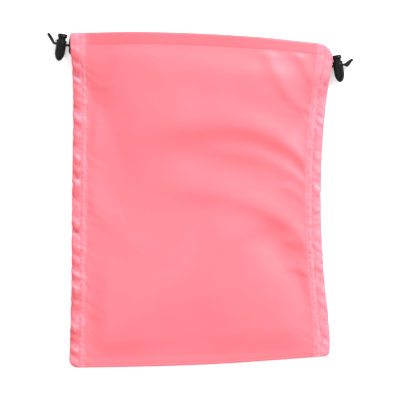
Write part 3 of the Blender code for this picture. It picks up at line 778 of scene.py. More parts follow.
def plastic_material(name, colours, roughness):
    """Moulded black nylon: fine spark-eroded grain, and paler scuffs."""
    material, tree, shader = new_material(name, tuple(colours.plastic), roughness,
                                          Specular_IOR_Level=0.2)
    wear = use_group(tree, wear_group(), object_coordinates(tree), Blotch_Scale=160.0,
                     Scuff_Scale=2200.0)
    scuff = map_range(tree, wear.outputs["Blotch"], 0.52, 0.75, 0.0, 0.8)
    tone = mix_colours(tree, scuff, tuple(colours.plastic), shade(colours.plastic, 2.5, 0.006))
    tree.links.new(tone, shader.inputs["Base Color"])
    rough = map_range(tree, wear.outputs["Blotch"], 0.3, 0.7, roughness - 0.07, roughness + 0.09)
    tree.links.new(rough, shader.inputs["Roughness"])
    bump(tree, shader, wear.outputs["Scuff"], 0.22, 0.06 * MM)
    return material


def steel_material():
    """Drawn spring wire with faint lengthwise streaks."""
    material, tree, shader = new_material("spring_steel", (0.55, 0.56, 0.58), 0.3, Metallic=1.0)
    streak = noise_texture(tree, object_coordinates(tree), 1500.0)
    tree.links.new(map_range(tree, streak, 0.3, 0.7, 0.22, 0.4), shader.inputs["Roughness"])
    tone = mix_colours(tree, streak, (0.42, 0.43, 0.45), (0.66, 0.67, 0.69))
    tree.links.new(tone, shader.inputs["Base Color"])
    return material


def floor_material(colour):
    """White studio floor, a little self-lit, with very faint large patches."""
    material, tree, shader = new_material("studio_floor", tuple(colour), 0.9,
                                          Emission_Color=(1.0, 1.0, 1.0, 1.0), Emission_Strength=0.4)
    patch = noise_texture(tree, object_coordinates(tree), 3.0)
    tone = mix_colours(tree, patch, shade(colour, 0.985), tuple(colour))
    tree.links.new(tone, shader.inputs["Base Color"])
    return material


# ---- cloth pieces
def side_spacing():
    """Fractions across the bag: 0.3 to 0.9 mm apart in the side bands and 2 mm in the middle."""
    near = np.array([0.0, 0.12, 0.3, 0.55, 0.9, 1.35, 2.0, 2.7, 3.5]) * MM
    band = np.arange(4.3, 26.0, 0.8) * MM
    ease = 26.0 * MM + np.cumsum(np.linspace(0.9, 2.0, 12)) * MM
    side = np.concatenate([near, band, ease]) / WIDTH
    steps = int((1.0 - 2 * side[-1]) * WIDTH / (2.05 * MM))
    middle = np.linspace(side[-1], 1.0 - side[-1], steps + 1)[1:-1]
    return np.concatenate([side, middle, (1.0 - side)[::-1]])


def panel_rows(pitch):
    """(drop, turn) of each row, from the bottom edge over the hem's fold to its turned-in edge."""
    low = LENGTH - np.array([0.0, 0.12, 0.3, 0.55, 0.9, 1.5, 2.2, 2.9, 3.6]) * MM
    half = pitch / 2
    body = np.arange(round(low[-1] / half) - 1, round(3 * MM / half), -1) * half
    drops = np.concatenate([low, body])
    angle = np.linspace(0.0, math.pi, 12)
    fold = np.stack([FOLD * (1 - np.sin(angle)), FOLD * (1 - np.cos(angle))], -1)
    down = smooth_step((INNER_DROPS - HEM_DOWN) / (HEM_FLAT - HEM_DOWN))
    inner_turn = 2 * FOLD + (0.75 * MM - 2 * FOLD) * down
    flat = np.stack([drops, np.zeros_like(drops)], -1)
    return np.concatenate([flat, fold, np.stack([INNER_DROPS, inner_turn], -1)])


def panel_masks(u, drop, turned_in, sizes):
    """Masks of 0 to 1 for the nylon: rim (painted shade at the edge), side band, paleness (stacked cloth, and
    painted light on the right band) and deep coral (painted shade, and the hem's deeper tone).
    """
    side = np.minimum(u, 1.0 - u) * WIDTH
    bottom = LENGTH - drop
    on_left = u < 0.5
    left_wave, right_wave = (gather_wave(side, bottom, gathers) for gathers in SIDE_GATHERS)
    # Painted shade along the very edge where the cloth rolls down; the rim is wider and blotched along the
    # left band.
    edge_shade_spread = smooth_step(0.3 + 1.6 * seam_wave(bottom, [8.5 * MM, 12.5 * MM], 61)) * on_left
    edge_shade_spread = edge_shade_spread * (1.0 - slit_lift(u, drop, SLIT_RAMP))
    edge = np.minimum(edge_distance(u, drop), np.where(turned_in > 0, 1.0, drop))
    rim = 1.0 - smooth_step(edge / (1.3 * MM + 2.2 * MM * edge_shade_spread))
    band = 1.0 - smooth_step((side - INNER_ROW) / (2.5 * MM))
    # Paleness: pinches and stacked cloth are paler, and the whole right band is painted paler as painted
    # light where it faces the key light.
    pinched = np.where(on_left, 0.75 * smooth_step(0.35 - 1.1 * left_wave),
                       0.75 + 0.25 * smooth_step(0.7 - right_wave))
    layers_and_light = band * np.where(side > OUTER_ROW, 0.45 + 0.5 * pinched, pinched)
    # Painted shade: deep coral in the pinches of the gathers near the side seams.
    crease_shade = 0.6 * smooth_step(-seam_detail(u, drop, sizes) / (0.6 * MM))
    crease_shade = crease_shade * smooth_step((20 * MM - side) / (8 * MM))
    # Deep coral on the left band's outer puffs, partly painted shade and partly the tone of a single layer;
    # painted shade over the band's lower left.
    puff = smooth_step(0.35 + 1.3 * left_wave) * smooth_step((OUTER_ROW - side) / (2 * MM))
    corner = bell(bottom - 48 * MM, 32 * MM) * smooth_step((INNER_ROW + 2 * MM - side) / (4 * MM))
    shade_and_deep_tone = np.maximum(crease_shade, 0.9 * np.maximum(puff, 0.8 * corner) * on_left)
    # The hem is made a deeper coral, fading towards the right.
    hem = smooth_step((HEM_END - drop) / MM) * smooth_step((side - 14 * MM) / (5 * MM))
    hem = hem * (1.0 - 0.7 * smooth_step((u - 0.55) / 0.35))
    return {"rim": rim, "band": band, "layers_and_light": layers_and_light, "shade_and_deep_tone": np.maximum(shade_and_deep_tone, 0.5 * hem)}


def make_panel(name, point, inward, sizes, colours):
    """One cloth panel with its turned-in casing, as a grid of side_spacing by panel_rows."""
    rows = panel_rows(sizes.stitch_pitch)
    across = side_spacing()[None, :]
    drop, turn = (rows[:, k:k + 1] + 0.0 * across for k in (0, 1))
    turned_in = smooth_step(turn / FOLD - 1.0)
    turned_in[-len(INNER_DROPS):] = 1.0
    left, right = (opening / WIDTH * turned_in for opening in (HEM_OPEN_LEFT, HEM_OPEN_RIGHT))
    u = left + across * (1.0 - left - right)
    x, y, z = point(u, drop, sizes)
    path = np.append(0.0, np.cumsum(np.hypot(*np.diff(rows, axis=0).T)))
    item = grid_mesh(name, x, y, z + inward * turn, (u * WIDTH, path[:, None] + 0.0 * u),
                     flip=inward > 0)
    for mask, values in panel_masks(u, drop, turned_in, sizes).items():
        point_attribute(item, mask, values)
    solidify(item, sizes.cloth)
    dress(item, nylon_material(name + "_nylon", colours, 1.0))
    return item, path[-1]


def strip_section(deep, shallow, count):
    """Depths and heights across a strip folded on itself, from one raw edge to the other."""
    depth = np.concatenate([np.linspace(deep, 1.6, count), [1.3, 1.2, 1.3],
                            np.linspace(1.6, shallow, count)])
    lift = np.concatenate([np.full(count, 0.2), [0.13, 0.0, -0.13], np.full(count, -0.2)])
    return depth[None, :] * MM, lift[None, :] * MM


def strip_mesh(name, x, y, lift, uv, flip, colours):
    """A folded strip at the height of the seam, with its masks, thickness and material."""
    item = grid_mesh(name, x, y, SEAM_Z + lift + 0.0 * x, uv, flip)
    point_attribute(item, "layers_and_light", np.ones(x.size))
    point_attribute(item, "shade_and_deep_tone", np.full(x.size, 0.4))
    solidify(item, STRIP_CLOTH)
    dress(item, nylon_material(name + "_nylon", colours, 0.6))
    return item


def make_allowance(name, side, slit, colours):
    """Turned-in raw edge inside a side band: one strip folded on itself, open towards the bag."""
    v = np.linspace(6 * MM / LENGTH, 1.0 - (slit + 1 * MM) / LENGTH, 150)[:, None]
    depth, lift = strip_section(12.0, 11.4, 9)
    u = depth / WIDTH + 0.0 * v
    if side > 0:
        u = 1.0 - u
    x, y = plan(u, v)
    fray = 0.35 * MM * np.sin(v * LENGTH / (0.9 * MM)) * (depth == depth.max())
    return strip_mesh(name, x + side * fray, y, lift, (u * WIDTH, v * LENGTH + 0.0 * u),
                      side > 0, colours)


def make_bottom_allowance(name, colours):
    """The same along the bottom edge."""
    u = np.linspace(13.8 * MM / WIDTH, 1.0 - 13.8 * MM / WIDTH, 140)[:, None]
    depth, lift = strip_section(8.6, 8.2, 7)
    v = depth / LENGTH + 0.0 * u
    x, y = plan(u, v)
    return strip_mesh(name, x, y, lift, (u * WIDTH + 0.0 * v, v * LENGTH), True, colours)


# ---- stitching
def stitch_shape(length, radius):
    """Points and quads of one stitch along X: a low arch of six-sided thread, ends sunk."""
    t = np.linspace(-1.0, 1.0, 5)[:, None]
    angle = np.linspace(0, 2 * math.pi, 6, endpoint=False)[None, :]
    girth = radius * (1.0 - 0.55 * t ** 4)
    x = t * length / 2 + 0 * angle
    y = girth * np.cos(angle)
    z = girth * np.sin(angle) + radius * (0.55 - 1.25 * t ** 2)
    points = np.stack([x, y, z], -1).reshape(-1, 3)
    faces = grid_faces(5, 6, close_columns=True)[:, ::-1]
    return points, faces


def lay_stitches(centres, along, up, sizes):
    """Copies of the stitch at each centre, turned along the row; returns points and faces."""
    shape, quads = stitch_shape(0.78 * sizes.stitch_pitch, sizes.thread / 2)
    along = along / np.linalg.norm(along, axis=1, keepdims=True)
    side = np.cross(up, along)
    side /= np.linalg.norm(side, axis=1, keepdims=True)
    over = np.cross(along, side)
    points = (centres[:, None, :] + along[:, None, :] * shape[None, :, :1]
              + side[:, None, :] * shape[None, :, 1:2] + over[:, None, :] * shape[None, :, 2:])
    start = np.arange(len(centres))[:, None, None] * len(shape)
    return points.reshape(-1, 3), (quads[None] + start).reshape(-1, 4)


def row_points(point, u, drop, lift, sizes):
    """Stitch centres on a panel and their directions, from the points half a stitch apart."""
    x, y, z = point(u, drop, sizes)
    path = np.stack([x, y, z + lift], -1)
    return path[1:-1:2], path[2::2] - path[:-2:2]


def side_row(point, edge, side, slit, lift, sizes):
    half = sizes.stitch_pitch / 2
    count = int((LENGTH - slit - 7 * MM) / half) // 2 * 2 + 1
    drop = LENGTH - 5 * MM - np.arange(count) * half
    drop = np.round(drop / half) * half
    u = np.full(count, edge / WIDTH if side < 0 else 1.0 - edge / WIDTH)
    return row_points(point, u, drop, lift, sizes)


def cross_row(point, drop, inset, lift, sizes):
    half = sizes.stitch_pitch / 2
    count = int((WIDTH - 2 * inset) / half) // 2 * 2 + 1
    u = (inset + np.arange(count) * half) / WIDTH
    return row_points(point, u, np.full(count, drop), lift, sizes)


def make_stitching(name, point, up_sign, sizes, material):
    """All thread on one panel, as one mesh of separate stitches."""
    lift = up_sign * sizes.cloth / 2
    rows = [side_row(point, edge, side, slit + 3 * MM, lift, sizes)
            for edge in (OUTER_ROW, INNER_ROW) for side, slit in ((-1, SLIT_LEFT), (1, SLIT_RIGHT))]
    rows.append(cross_row(point, HEM_ROW, 2.2 * MM, lift, sizes))
    rows.append(cross_row(point, LENGTH - BOTTOM_ROW, 9 * MM, lift, sizes))
    points, faces, start = [], [], 0
    for centres, along in rows:
        p, f = lay_stitches(centres, along, np.tile(UP * up_sign, (len(centres), 1)), sizes)
        points.append(p)
        faces.append(f + start)
        start += len(p)
    item = new_mesh(name, np.concatenate(points), np.concatenate(faces))
    dress(item, material)
    return item


# ---- drawcords
class Lock:
    """Place and directions of one cord lock: side is -1 at the left and 1 at the right."""

    def __init__(self, name, side, stand_off, drop):
        self.name = name
        self.side = side
        reach = WIDTH / 2 + stand_off + LOCK_RADIUS
        self.hole = np.array([side * reach, LENGTH / 2 - drop, LOCK_RADIUS + GAP])
        self.axis = np.array([-side * math.sin(LOCK_TILT), math.cos(LOCK_TILT), 0.0])
        self.cord = np.array([side * math.cos(LOCK_TILT), math.sin(LOCK_TILT), 0.0])
        self.across = np.cross(UP, self.axis)
        self.tip = self.hole - self.axis * HOLE_HEIGHT

    def strand(self, points):
        """Points given as (outwards, down, height) in millimetres, moved to their place."""
        out, down, height = np.array(points).T[:, :, None] * MM
        place_xy = self.hole + self.cord * out - self.axis * down
        return np.concatenate([place_xy[:, :2], height], axis=1)

    def world(self, points):
        """Points given as (across, up, along the lock's axis) moved to their place."""
        turn = np.stack([self.across, UP, self.axis])
        return np.asarray(points) @ turn + self.tip


LEFT_LOCK = Lock("left", -1, stand_off=2.9 * MM, drop=10.8 * MM)
RIGHT_LOCK = Lock("right", 1, stand_off=2.2 * MM, drop=30.4 * MM)


def casing_run(lock, drop, near, far, layer):
    """Points along a casing at a fixed drop, closer together where the cord turns back."""
    shares = np.append(np.linspace(0.0, 1.0, 13)[:-1], [0.97, 0.985, 1.0])
    reach = (near + shares * (WIDTH - near - far)) / WIDTH
    u = reach if lock.side < 0 else 1.0 - reach
    x, y = plan(u, 1.0 - drop / LENGTH)
    z = front_height(u, drop) - FOLD if layer == "front" else np.full_like(x, BACK_Z + FOLD)
    return np.stack([x, y, z], -1)


def cord_route(lock, drop, near, far, high, low):
    """Tail, lock, front casing, half turn down, back casing, lock, tail."""
    front = casing_run(lock, drop, near, far, "front")
    back = casing_run(lock, drop, near, far, "back")[::-1]
    radius = (front[-1, 2] - back[0, 2]) / 2
    angle = np.linspace(0.0, math.pi, 7)[1:-1]
    turn = front[-1] + np.stack([-lock.side * radius * np.sin(angle), 0 * angle,
                                 radius * (np.cos(angle) - 1)], -1)
    high_exit, high_tail = (lock.strand(points) for points in high)
    low_exit, low_tail = (lock.strand(points) for points in low)
    return np.concatenate([high_tail[::-1], high_exit, front, turn, back, low_exit[::-1], low_tail])


def smooth_path(points, spacing):
    """Smooth curve through the points, cut about one spacing apart."""
    step = np.linalg.norm(np.diff(points, axis=0), axis=1)
    at = np.append(0.0, np.cumsum(step))
    parts = np.maximum(1, np.rint(step / spacing)).astype(int)
    i = np.append(np.repeat(np.arange(len(parts)), parts), len(parts) - 1)
    s = np.append(np.concatenate([np.arange(n) / n for n in parts]), 1.0)[:, None]
    return hermite(points, np.gradient(points, at, axis=0), i, s, step[i][:, None])


def path_frames(path):
    """Two side directions at each point of a path.

    The reference is +Y where the path lies across the bag and turns over to +Z where it runs
    up or down the bag, so it is never along the path.
    """
    tangent = np.gradient(path, axis=0)
    tangent /= np.linalg.norm(tangent, axis=1, keepdims=True)
    turned = smooth_step((np.abs(tangent[:, 1:2]) - 0.2) / 0.5)
    side = np.cross(tangent, np.array([[0.0, 1.0, 0.0]]) * (1.0 - turned) + UP[None, :] * turned)
    side /= np.linalg.norm(side, axis=1, keepdims=True)
    return side, np.cross(tangent, side)


def braided_tube(name, path, diameter, carriers, lay, relief=0.07):
    """Braided cord: radius rises over two opposed families of strands.

    With n carriers and lay length L, the strands are cos(n a + 2 pi s n / L) and
    cos(n a - 2 pi s n / L), and the larger of the two stands out at each point.
    """
    around = 4 * carriers
    angle = np.linspace(0, 2 * math.pi, around, endpoint=False)[None, :]
    run = np.append(0.0, np.cumsum(np.linalg.norm(np.diff(path, axis=0), axis=1)))
    turn = 2 * math.pi * run[:, None] * carriers / lay
    strands = np.maximum(np.cos(carriers * angle + turn), np.cos(carriers * angle - turn))
    ends = np.clip(np.minimum(run, run[-1] - run) / (0.35 * diameter), 0.0, 1.0)[:, None]
    radius = (diameter / 2 * (1.0 - relief + relief * strands)
              * (0.35 + 0.65 * np.sqrt(1.0 - (1.0 - ends) ** 2)))
    side, up = path_frames(path)
    rings = path[:, None] + radius[..., None] * (np.cos(angle)[..., None] * side[:, None]
                                                 + np.sin(angle)[..., None] * up[:, None])
    points = np.concatenate([rings.reshape(-1, 3), path[:1], path[-1:]])
    item = new_mesh(name, points, [face[::-1] for face in capped_faces(len(path), around)])
    u, v = np.broadcast_arrays(angle / 2 * diameter, run[:, None])
    write_uv(item, np.concatenate([np.stack([u.ravel(), v.ravel()], -1), [[0, 0], [0, run[-1]]]]))
    return item


# ---- cord locks
def lathe_points(profile, segments):
    """Turn (radius, height) points round the lock's axis, as (across, up, along) rows."""
    r, h = np.array(profile).T[..., None]
    angle = np.linspace(0, 2 * math.pi, segments, endpoint=False)
    return np.stack([r * np.cos(angle), r * np.sin(angle), h + 0 * angle], -1)


def closed_rows(name, points):
    """Mesh from rings of points, its first and last rings each closed by a pole."""
    flat = np.concatenate([points.reshape(-1, 3), points[:1].mean(axis=1), points[-1:].mean(axis=1)])
    item = new_mesh(name, flat, capped_faces(*points.shape[:2]))
    outward(item)
    return item


def outward(item):
    """Recalculate normals so that they face out."""
    bpy.context.view_layer.objects.active = item
    bpy.ops.object.select_all(action="DESELECT")
    item.select_set(True)
    bpy.ops.object.mode_set(mode="EDIT")
    bpy.ops.mesh.select_all(action="SELECT")
    bpy.ops.mesh.remove_doubles(threshold=0.000005)
    bpy.ops.mesh.normals_make_consistent(inside=False)
    bpy.ops.object.mode_set(mode="OBJECT")


def arc(centre, radius, start, stop, count):
    """Points on a circle in the profile plane, angles in degrees from +radius."""
    angle = np.radians(np.linspace(start, stop, count))
    return [(centre[0] + radius * math.cos(a), centre[1] + radius * math.sin(a)) for a in angle]


def barrel_rows():
    """Stepped bore upwards, rounded lip, slightly barrelled outside, elliptical nose."""
    lip = 0.45 * MM
    inside = [(0.25 * MM, SPRING_FLOOR), (SPRING_BORE, SPRING_FLOOR), (SPRING_BORE, BORE_FLOOR),
              (BORE_RADIUS, BORE_FLOOR), (BORE_RADIUS, MOUTH_HEIGHT - 0.2 * MM)]
    rim = arc((LOCK_RADIUS - lip, MOUTH_HEIGHT - lip), lip, 95, 0, 7)
    collar = [(LOCK_RADIUS, MOUTH_HEIGHT - 1.5 * MM), (LOCK_RADIUS - 0.22 * MM, MOUTH_HEIGHT - 1.75 * MM),
              (LOCK_RADIUS - 0.22 * MM, MOUTH_HEIGHT - 2.0 * MM)]
    height = np.linspace(MOUTH_HEIGHT - 2.4 * MM, LONG_NOSE, 8)
    body = [(LOCK_RADIUS - 0.05 * MM, float(h)) for h in height]
    angle = np.linspace(0.0, math.pi / 2, 20)[1:-1]
    nose = [((LOCK_RADIUS - 0.05 * MM) * math.cos(a) ** 1.05, LONG_NOSE * (1 - math.sin(a))) for a in angle]
    return inside + rim + collar + body + nose + [(0.12 * MM, 0.0)]


def plunger_rows():
    """Dished press pad, rounded rim, short neck fillet and the stem."""
    rim = 0.75 * MM
    top = LOCK_LENGTH
    under = LOCK_LENGTH - HEAD_HEIGHT
    pad = [(0.2 * MM, top - 0.45 * MM), (1.6 * MM, top - 0.42 * MM), (2.7 * MM, top - 0.25 * MM)]
    shoulder = arc((HEAD_RADIUS - rim, top - rim), rim, 105, 0, 8)
    flank = [(HEAD_RADIUS, top - 1.2 * MM), (HEAD_RADIUS - 0.12 * MM, top - 1.35 * MM),
             (HEAD_RADIUS - 0.12 * MM, top - 1.6 * MM), (HEAD_RADIUS, top - 1.75 * MM)]
    low = arc((HEAD_RADIUS - 0.4 * MM, under + 0.4 * MM), 0.4 * MM, 0, -90, 5)
    neck = [(STEM_RADIUS + 0.3 * MM, under), (STEM_RADIUS, under - 0.25 * MM)]
    stem = [(STEM_RADIUS, float(h)) for h in np.linspace(under - 1 * MM, STEM_BOTTOM + 0.5 * MM, 4)]
    foot = arc((STEM_RADIUS - 0.4 * MM, STEM_BOTTOM + 0.4 * MM), 0.4 * MM, 0, -90, 4)
    return pad + shoulder + flank + low + neck + stem + foot + [(0.2 * MM, STEM_BOTTOM)]


def slot_cutter(lock, low, high):
    """Rounded bar right through the lock along the cord: a stadium carried along a line."""
    count = 32
    radius = SLOT_HEIGHT / 2
    angle = np.linspace(0, 2 * math.pi, count, endpoint=False)
    up = radius * np.cos(angle) + np.where(np.cos(angle) > 0, 1, -1) * (SLOT_WIDTH / 2 - radius)
    stretch = (high - low) / 2 - radius
    along = radius * np.sin(angle) + np.where(np.sin(angle) > 0, stretch, -stretch) + (low + high) / 2
    reach = 2.5 * LOCK_RADIUS
    rows = np.stack([np.stack([np.full(count, x), up, along], -1) for x in (-reach, reach)])
    faces = grid_faces(2, count, close_columns=True).tolist()
    faces += [range(count), range(2 * count - 1, count - 1, -1)]
    item = new_mesh("slot_cutter", lock.world(rows.reshape(-1, 3)), faces, smooth=False)
    outward(item)
    return item


def cut_and_round(item, cutter, radius):
    """Cut the slot, then round the rims with a small bevel, and keep the result as the mesh."""
    cut = item.modifiers.new("cord_hole", "BOOLEAN")
    cut.operation = "DIFFERENCE"
    cut.solver = "EXACT"
    cut.object = cutter
    rounding = item.modifiers.new("rims", "BEVEL")
    rounding.width = radius
    rounding.segments = 2
    rounding.limit_method = "ANGLE"
    rounding.angle_limit = SHARP_ANGLE
    rounding.use_clamp_overlap = True
    graph = bpy.context.evaluated_depsgraph_get()
    mesh = bpy.data.meshes.new_from_object(item.evaluated_get(graph))
    item.modifiers.clear()
    item.data = mesh
    mesh.shade_smooth()
    mesh.set_sharp_from_angle(angle=SHARP_ANGLE)
    bpy.data.objects.remove(cutter, do_unlink=True)


def grip_ribs(points, low, high):
    """Press fourteen shallow grip grooves into the barrel's outside between two heights."""
    height = points[..., 2]
    angle = np.arctan2(points[..., 1], points[..., 0])
    radius = np.maximum(np.hypot(points[..., 0], points[..., 1]), 1e-9)
    zone = smooth_step((height - low) / (1.2 * MM)) * smooth_step((high - height) / (1.2 * MM))
    zone = zone * (radius > LOCK_RADIUS - 0.6 * MM)
    groove = 0.22 * MM * zone * np.maximum(np.cos(14 * angle), 0.0) ** 2
    points[..., :2] *= (1.0 - groove / radius)[..., None]
    return points


def make_barrel(lock, material):
    points = grip_ribs(lathe_points(barrel_rows(), 84), GRIP_LOW, GRIP_HIGH)
    item = closed_rows(lock.name + "_barrel", lock.world(points))
    cut_and_round(item, slot_cutter(lock, SLOT_BASE, SLOT_BASE + SLOT_HEIGHT), BARREL_RIM)
    dress(item, material)
    return item


def make_plunger(lock, material):
    item = closed_rows(lock.name + "_plunger", lock.world(lathe_points(plunger_rows(), 72)))
    cut_and_round(item, slot_cutter(lock, SLOT_BASE, SLOT_BASE + SLOT_HEIGHT + TRAVEL), PLUNGER_RIM)
    dress(item, material)
    return item


def make_spring(lock, material):
    """Compression spring: a helix of round wire with nearly flat end turns.
    """
    low = SPRING_FLOOR + GAP + WIRE / 2
    high = STEM_BOTTOM - GAP - WIRE / 2
    turn = np.linspace(0.0, SPRING_TURNS, 220)
    rise = np.clip((turn - SPRING_CLOSED) / (SPRING_TURNS - 2 * SPRING_CLOSED), 0.0, 1.0)
    angle = 2 * math.pi * turn
    height = low + (high - low) * rise + np.minimum(turn, SPRING_CLOSED) * SPRING_END_RISE
    path = np.stack([SPRING_RADIUS * np.cos(angle), SPRING_RADIUS * np.sin(angle), height], -1)
    item = braided_tube(lock.name + "_spring", lock.world(path), WIRE, 3, 1.0, relief=0.0)
    dress(item, material)
    place(item, lock.name + "_lock", "spring_wire", lock.name + "_lock_spring")
    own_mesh(item)


def make_seal(lock, route, material):
    """Melted bead over both cord ends.

    An egg, long along the line between the two ends, with three shallow pinch marks round it.
    """
    across = route[0] - route[-1]
    half = np.linalg.norm(across) / 2
    across = across / (2 * half)
    along = route[0] - route[1] + route[-1] - route[-2]
    along = along - across * along.dot(across)
    along /= np.linalg.norm(along)
    third = np.cross(across, along)
    middle = (route[0] + route[-1]) / 2 + along * 0.25 * CORD
    lat = np.linspace(-math.pi / 2, math.pi / 2, 22)[1:-1][:, None]
    lon = np.linspace(0, 2 * math.pi, 36, endpoint=False)[None, :]
    girth = 0.56 * CORD * (1.0 + 0.05 * np.sin(3 * lon + 4 * lat) - 0.08 * bell(lat, 0.25)) * np.cos(lat)
    rise = (half + 0.5 * CORD) * np.sin(lat) + 0 * lon
    points = (middle + girth[..., None] * (1.25 * np.cos(lon)[..., None] * along
                                           + np.sin(lon)[..., None] * third)
              + rise[..., None] * across)
    item = closed_rows(lock.name + "_seal", points)
    dress(item, material)
    return item


# ---- settings
def colour_property(name, description, default):
    return FloatVectorProperty(name=name, description=description, default=default, size=3,
                               min=0.0, max=1.0, subtype="COLOR")


def length_property(name, description, default):
    return FloatProperty(name=name, description=description, default=default, min=0.0,
                         unit="LENGTH", subtype="DISTANCE", precision=5)


class BagSizes(bpy.types.PropertyGroup):
    cloth: length_property("Cloth thickness", "Thickness of the coated nylon", 0.35 * MM)
    stitch_pitch: length_property("Stitch pitch", "Distance from one stitch to the next", 2.4 * MM)
    thread: length_property("Thread", "Diameter of the sewing thread", 0.42 * MM)
    braid_lay: length_property("Braid lay", "Length of cord in one turn of its braid", 9.0 * MM)
    pucker: FloatProperty(name="Gathers", description="Depth of the gathers along the side seams",
                          default=1.0, min=0.0, max=2.0, subtype="FACTOR")
    carriers: IntProperty(name="Braid carriers", description="Strands in each direction of the braid",
                          default=6, min=3, max=12)


class BagColours(bpy.types.PropertyGroup):
    nylon: colour_property("Nylon", "Colour of the panels", (0.93, 0.190, 0.238))
    nylon_deep: colour_property("Nylon, deep", "Deeper patches of the panels", (0.92, 0.180, 0.226))
    # Deep coral: painted shade in creases and pinches, and also the deeper tone of slubs, the hem and the
    # seam allowances.
    nylon_deep_tone_and_shade: colour_property("Nylon, hollows", "Colour in the hollows of folds", (0.86, 0.118, 0.142))
    # Paler coral: stacked cloth, and painted light on the right band.
    nylon_pale: colour_property("Nylon, layered", "Colour where layers lie on each other", (0.95, 0.31, 0.39))
    # Mauve: painted shade of puckers, needle holes and the rolled edge.
    nylon_painted_shade: colour_property("Nylon, pinched", "Colour of the pinched spots along the seams",
                                 (0.62, 0.16, 0.22))
    thread: colour_property("Thread", "Colour of the sewing thread", (0.52, 0.12, 0.19))
    cord: colour_property("Cord", "Colour of the drawcords", (0.006, 0.006, 0.008))
    plastic: colour_property("Plastic", "Colour of the cord locks", (0.0035, 0.0035, 0.0045))
    floor: colour_property("Floor", "Colour of the floor", (0.93, 0.93, 0.93))


def settings():
    scene = bpy.context.scene
    return scene.bag_sizes, scene.bag_colours


# ---- operators
class BAG_OT_front(bpy.types.Operator):
    """Front panel with its folds, gathered side bands and turned-in casing"""
    bl_idname = "bag.front_panel"
    bl_label = "Front panel"

    def execute(self, context):
        sizes, colours = settings()
        item, length = make_panel("front_cloth", front_point, -1.0, sizes, colours)
        place(item, BAG, "nylon_panel", "front_panel")
        return {"FINISHED"}


class BAG_OT_back(bpy.types.Operator):
    """Back panel, flat on the floor, with its turned-in casing"""
    bl_idname = "bag.back_panel"
    bl_label = "Back panel"

    def execute(self, context):
        sizes, colours = settings()
        item, length = make_panel("back_cloth", back_point, 1.0, sizes, colours)
        place(item, BAG, "nylon_panel", "back_panel")
        return {"FINISHED"}


class BAG_OT_allowances(bpy.types.Operator):
    """Turned-in raw edges inside the side bands and along the bottom"""
    bl_idname = "bag.seam_allowances"
    bl_label = "Seam allowances"

    def execute(self, context):
        colours = settings()[1]
        for side, word, slit in ((-1, "left", SLIT_LEFT), (1, "right", SLIT_RIGHT)):
            top = slit + SLIT_RAMP / 2
            item = make_allowance(word + "_allowance", side, top, colours)
            place(item, BAG, "nylon_allowance", word + "_seam_allowance")
        item = make_bottom_allowance("bottom_allowance", colours)
        place(item, BAG, "nylon_allowance", "bottom_seam_allowance")
        return {"FINISHED"}


class BAG_OT_stitching(bpy.types.Operator):
    """Stitch rows on both panels"""
    bl_idname = "bag.stitching"
    bl_label = "Stitching"

    def execute(self, context):
        sizes, colours = settings()
        material = thread_material(colours)
        for word, point, up_sign in (("front", front_point, 1.0), ("back", back_point, -1.0)):
            item = make_stitching(word + "_stitching", point, up_sign, sizes, material)
            place(item, BAG, "nylon_panel")
        return {"FINISHED"}


class BAG_OT_cords(bpy.types.Operator):
    """Both drawcords along their whole route, and the sealed tip of each"""
    bl_idname = "bag.drawcords"
    bl_label = "Drawcords"

    def execute(self, context):
        sizes, colours = settings()
        material = cord_material(colours)
        seal = plastic_material("melted_tip", colours, 0.38)
        for lock, run, strands in ((LEFT_LOCK, LEFT_RUN, LEFT_STRANDS),
                                   (RIGHT_LOCK, RIGHT_RUN, RIGHT_STRANDS)):
            route = cord_route(lock, *run, *strands)
            item = braided_tube(lock.name + "_cord", smooth_path(route, CORD_STEP), CORD,
                                sizes.carriers, sizes.braid_lay)
            dress(item, material)
            place(item, BAG, "drawcord", lock.name + "_drawcord")
            tip = make_seal(lock, route, seal)
            place(tip, BAG, "cord_seal", lock.name + "_cord_tip")
        return {"FINISHED"}


class BAG_OT_locks(bpy.types.Operator):
    """Barrels, plungers and springs of both cord locks"""
    bl_idname = "bag.cord_locks"
    bl_label = "Cord locks"

    def execute(self, context):
        colours = settings()[1]
        barrel = plastic_material("barrel_plastic", colours, 0.42)
        plunger = plastic_material("plunger_plastic", colours, 0.36)
        steel = steel_material()
        for lock in (LEFT_LOCK, RIGHT_LOCK):
            item = make_barrel(lock, barrel)
            place(item, lock.name + "_lock", "lock_shell", lock.name + "_lock_barrel")
            item = make_plunger(lock, plunger)
            place(item, lock.name + "_plunger", "lock_shell", lock.name + "_lock_plunger")
            make_spring(lock, steel)
        return {"FINISHED"}


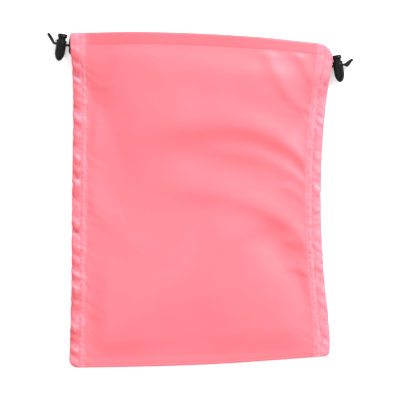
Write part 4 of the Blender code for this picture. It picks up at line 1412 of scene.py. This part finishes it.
class BAG_OT_stage(bpy.types.Operator):
    """Pale floor, soft studio light and the overhead camera"""
    bl_idname = "bag.stage"
    bl_label = "Stage"

    def execute(self, context):
        colours = settings()[1]
        low, high = (np.array(corner) for corner in CAD_BOX)
        reach = 6 * float(max(high - low))
        grid = np.meshgrid(*[np.linspace(-reach, reach, 13)] * 2)
        floor = grid_mesh("floor", grid[0], grid[1], np.full_like(grid[0], -0.0002))
        dress(floor, floor_material(colours.floor))
        add_light("key_softbox", (2.1, 2.8, 2.2), size=1.8, power=236.0)
        add_light("fill_softbox", (-1.6, -0.6, 3.2), size=2.6, power=38.0)
        world = bpy.data.worlds.new("studio")
        world.use_nodes = True
        world.node_tree.nodes["Background"].inputs["Color"].default_value = (1.0, 1.0, 1.0, 1.0)
        world.node_tree.nodes["Background"].inputs["Strength"].default_value = 0.5
        context.scene.world = world
        context.scene.view_settings.view_transform = "Standard"
        add_camera(context)
        return {"FINISHED"}


def add_light(name, place_at, size, power):
    """Square softbox aimed at the bag."""
    data = bpy.data.lights.new(name, "AREA")
    data.shape = "SQUARE"
    data.size = size
    data.energy = power
    item = bpy.data.objects.new(name, data)
    bpy.context.scene.collection.objects.link(item)
    item.location = place_at
    item.rotation_euler = (-Vector(place_at)).to_track_quat("-Z", "Y").to_euler()


def add_camera(context):
    """Camera straight above the bag, long lens, framing it as a square."""
    distance = 1.6
    view_width = 0.368
    data = bpy.data.cameras.new("camera")
    data.sensor_width = 36.0
    data.lens = data.sensor_width * distance / view_width
    item = bpy.data.objects.new("camera", data)
    context.scene.collection.objects.link(item)
    item.location = (0.0, 0.0, distance + 4 * MM)
    context.scene.camera = item


class BAG_PT_panel(bpy.types.Panel):
    """Sizes, colours and build steps of the bag"""
    bl_idname = "BAG_PT_panel"
    bl_label = "Throw Bag"
    bl_space_type = "VIEW_3D"
    bl_region_type = "UI"
    bl_category = "Throw Bag"

    def draw(self, context):
        column = self.layout.column()
        for group in (context.scene.bag_sizes, context.scene.bag_colours):
            for name in group.__annotations__:
                column.prop(group, name)
        for operator in OPERATORS:
            column.operator(operator.bl_idname)


GROUPS = (BagSizes, BagColours)
OPERATORS = (BAG_OT_stage, BAG_OT_back, BAG_OT_front, BAG_OT_allowances, BAG_OT_stitching,
             BAG_OT_cords, BAG_OT_locks)


def register():
    for item in GROUPS + OPERATORS + (BAG_PT_panel,):
        bpy.utils.register_class(item)
    bpy.types.Scene.bag_sizes = PointerProperty(type=BagSizes)
    bpy.types.Scene.bag_colours = PointerProperty(type=BagColours)


def unregister():
    del bpy.types.Scene.bag_colours
    del bpy.types.Scene.bag_sizes
    for item in (BAG_PT_panel,) + OPERATORS[::-1] + GROUPS[::-1]:
        bpy.utils.unregister_class(item)


def main():
    register()
    for operator in OPERATORS:
        group, name = operator.bl_idname.split(".")
        getattr(getattr(bpy.ops, group), name)()


if __name__ == "__main__":
    main()
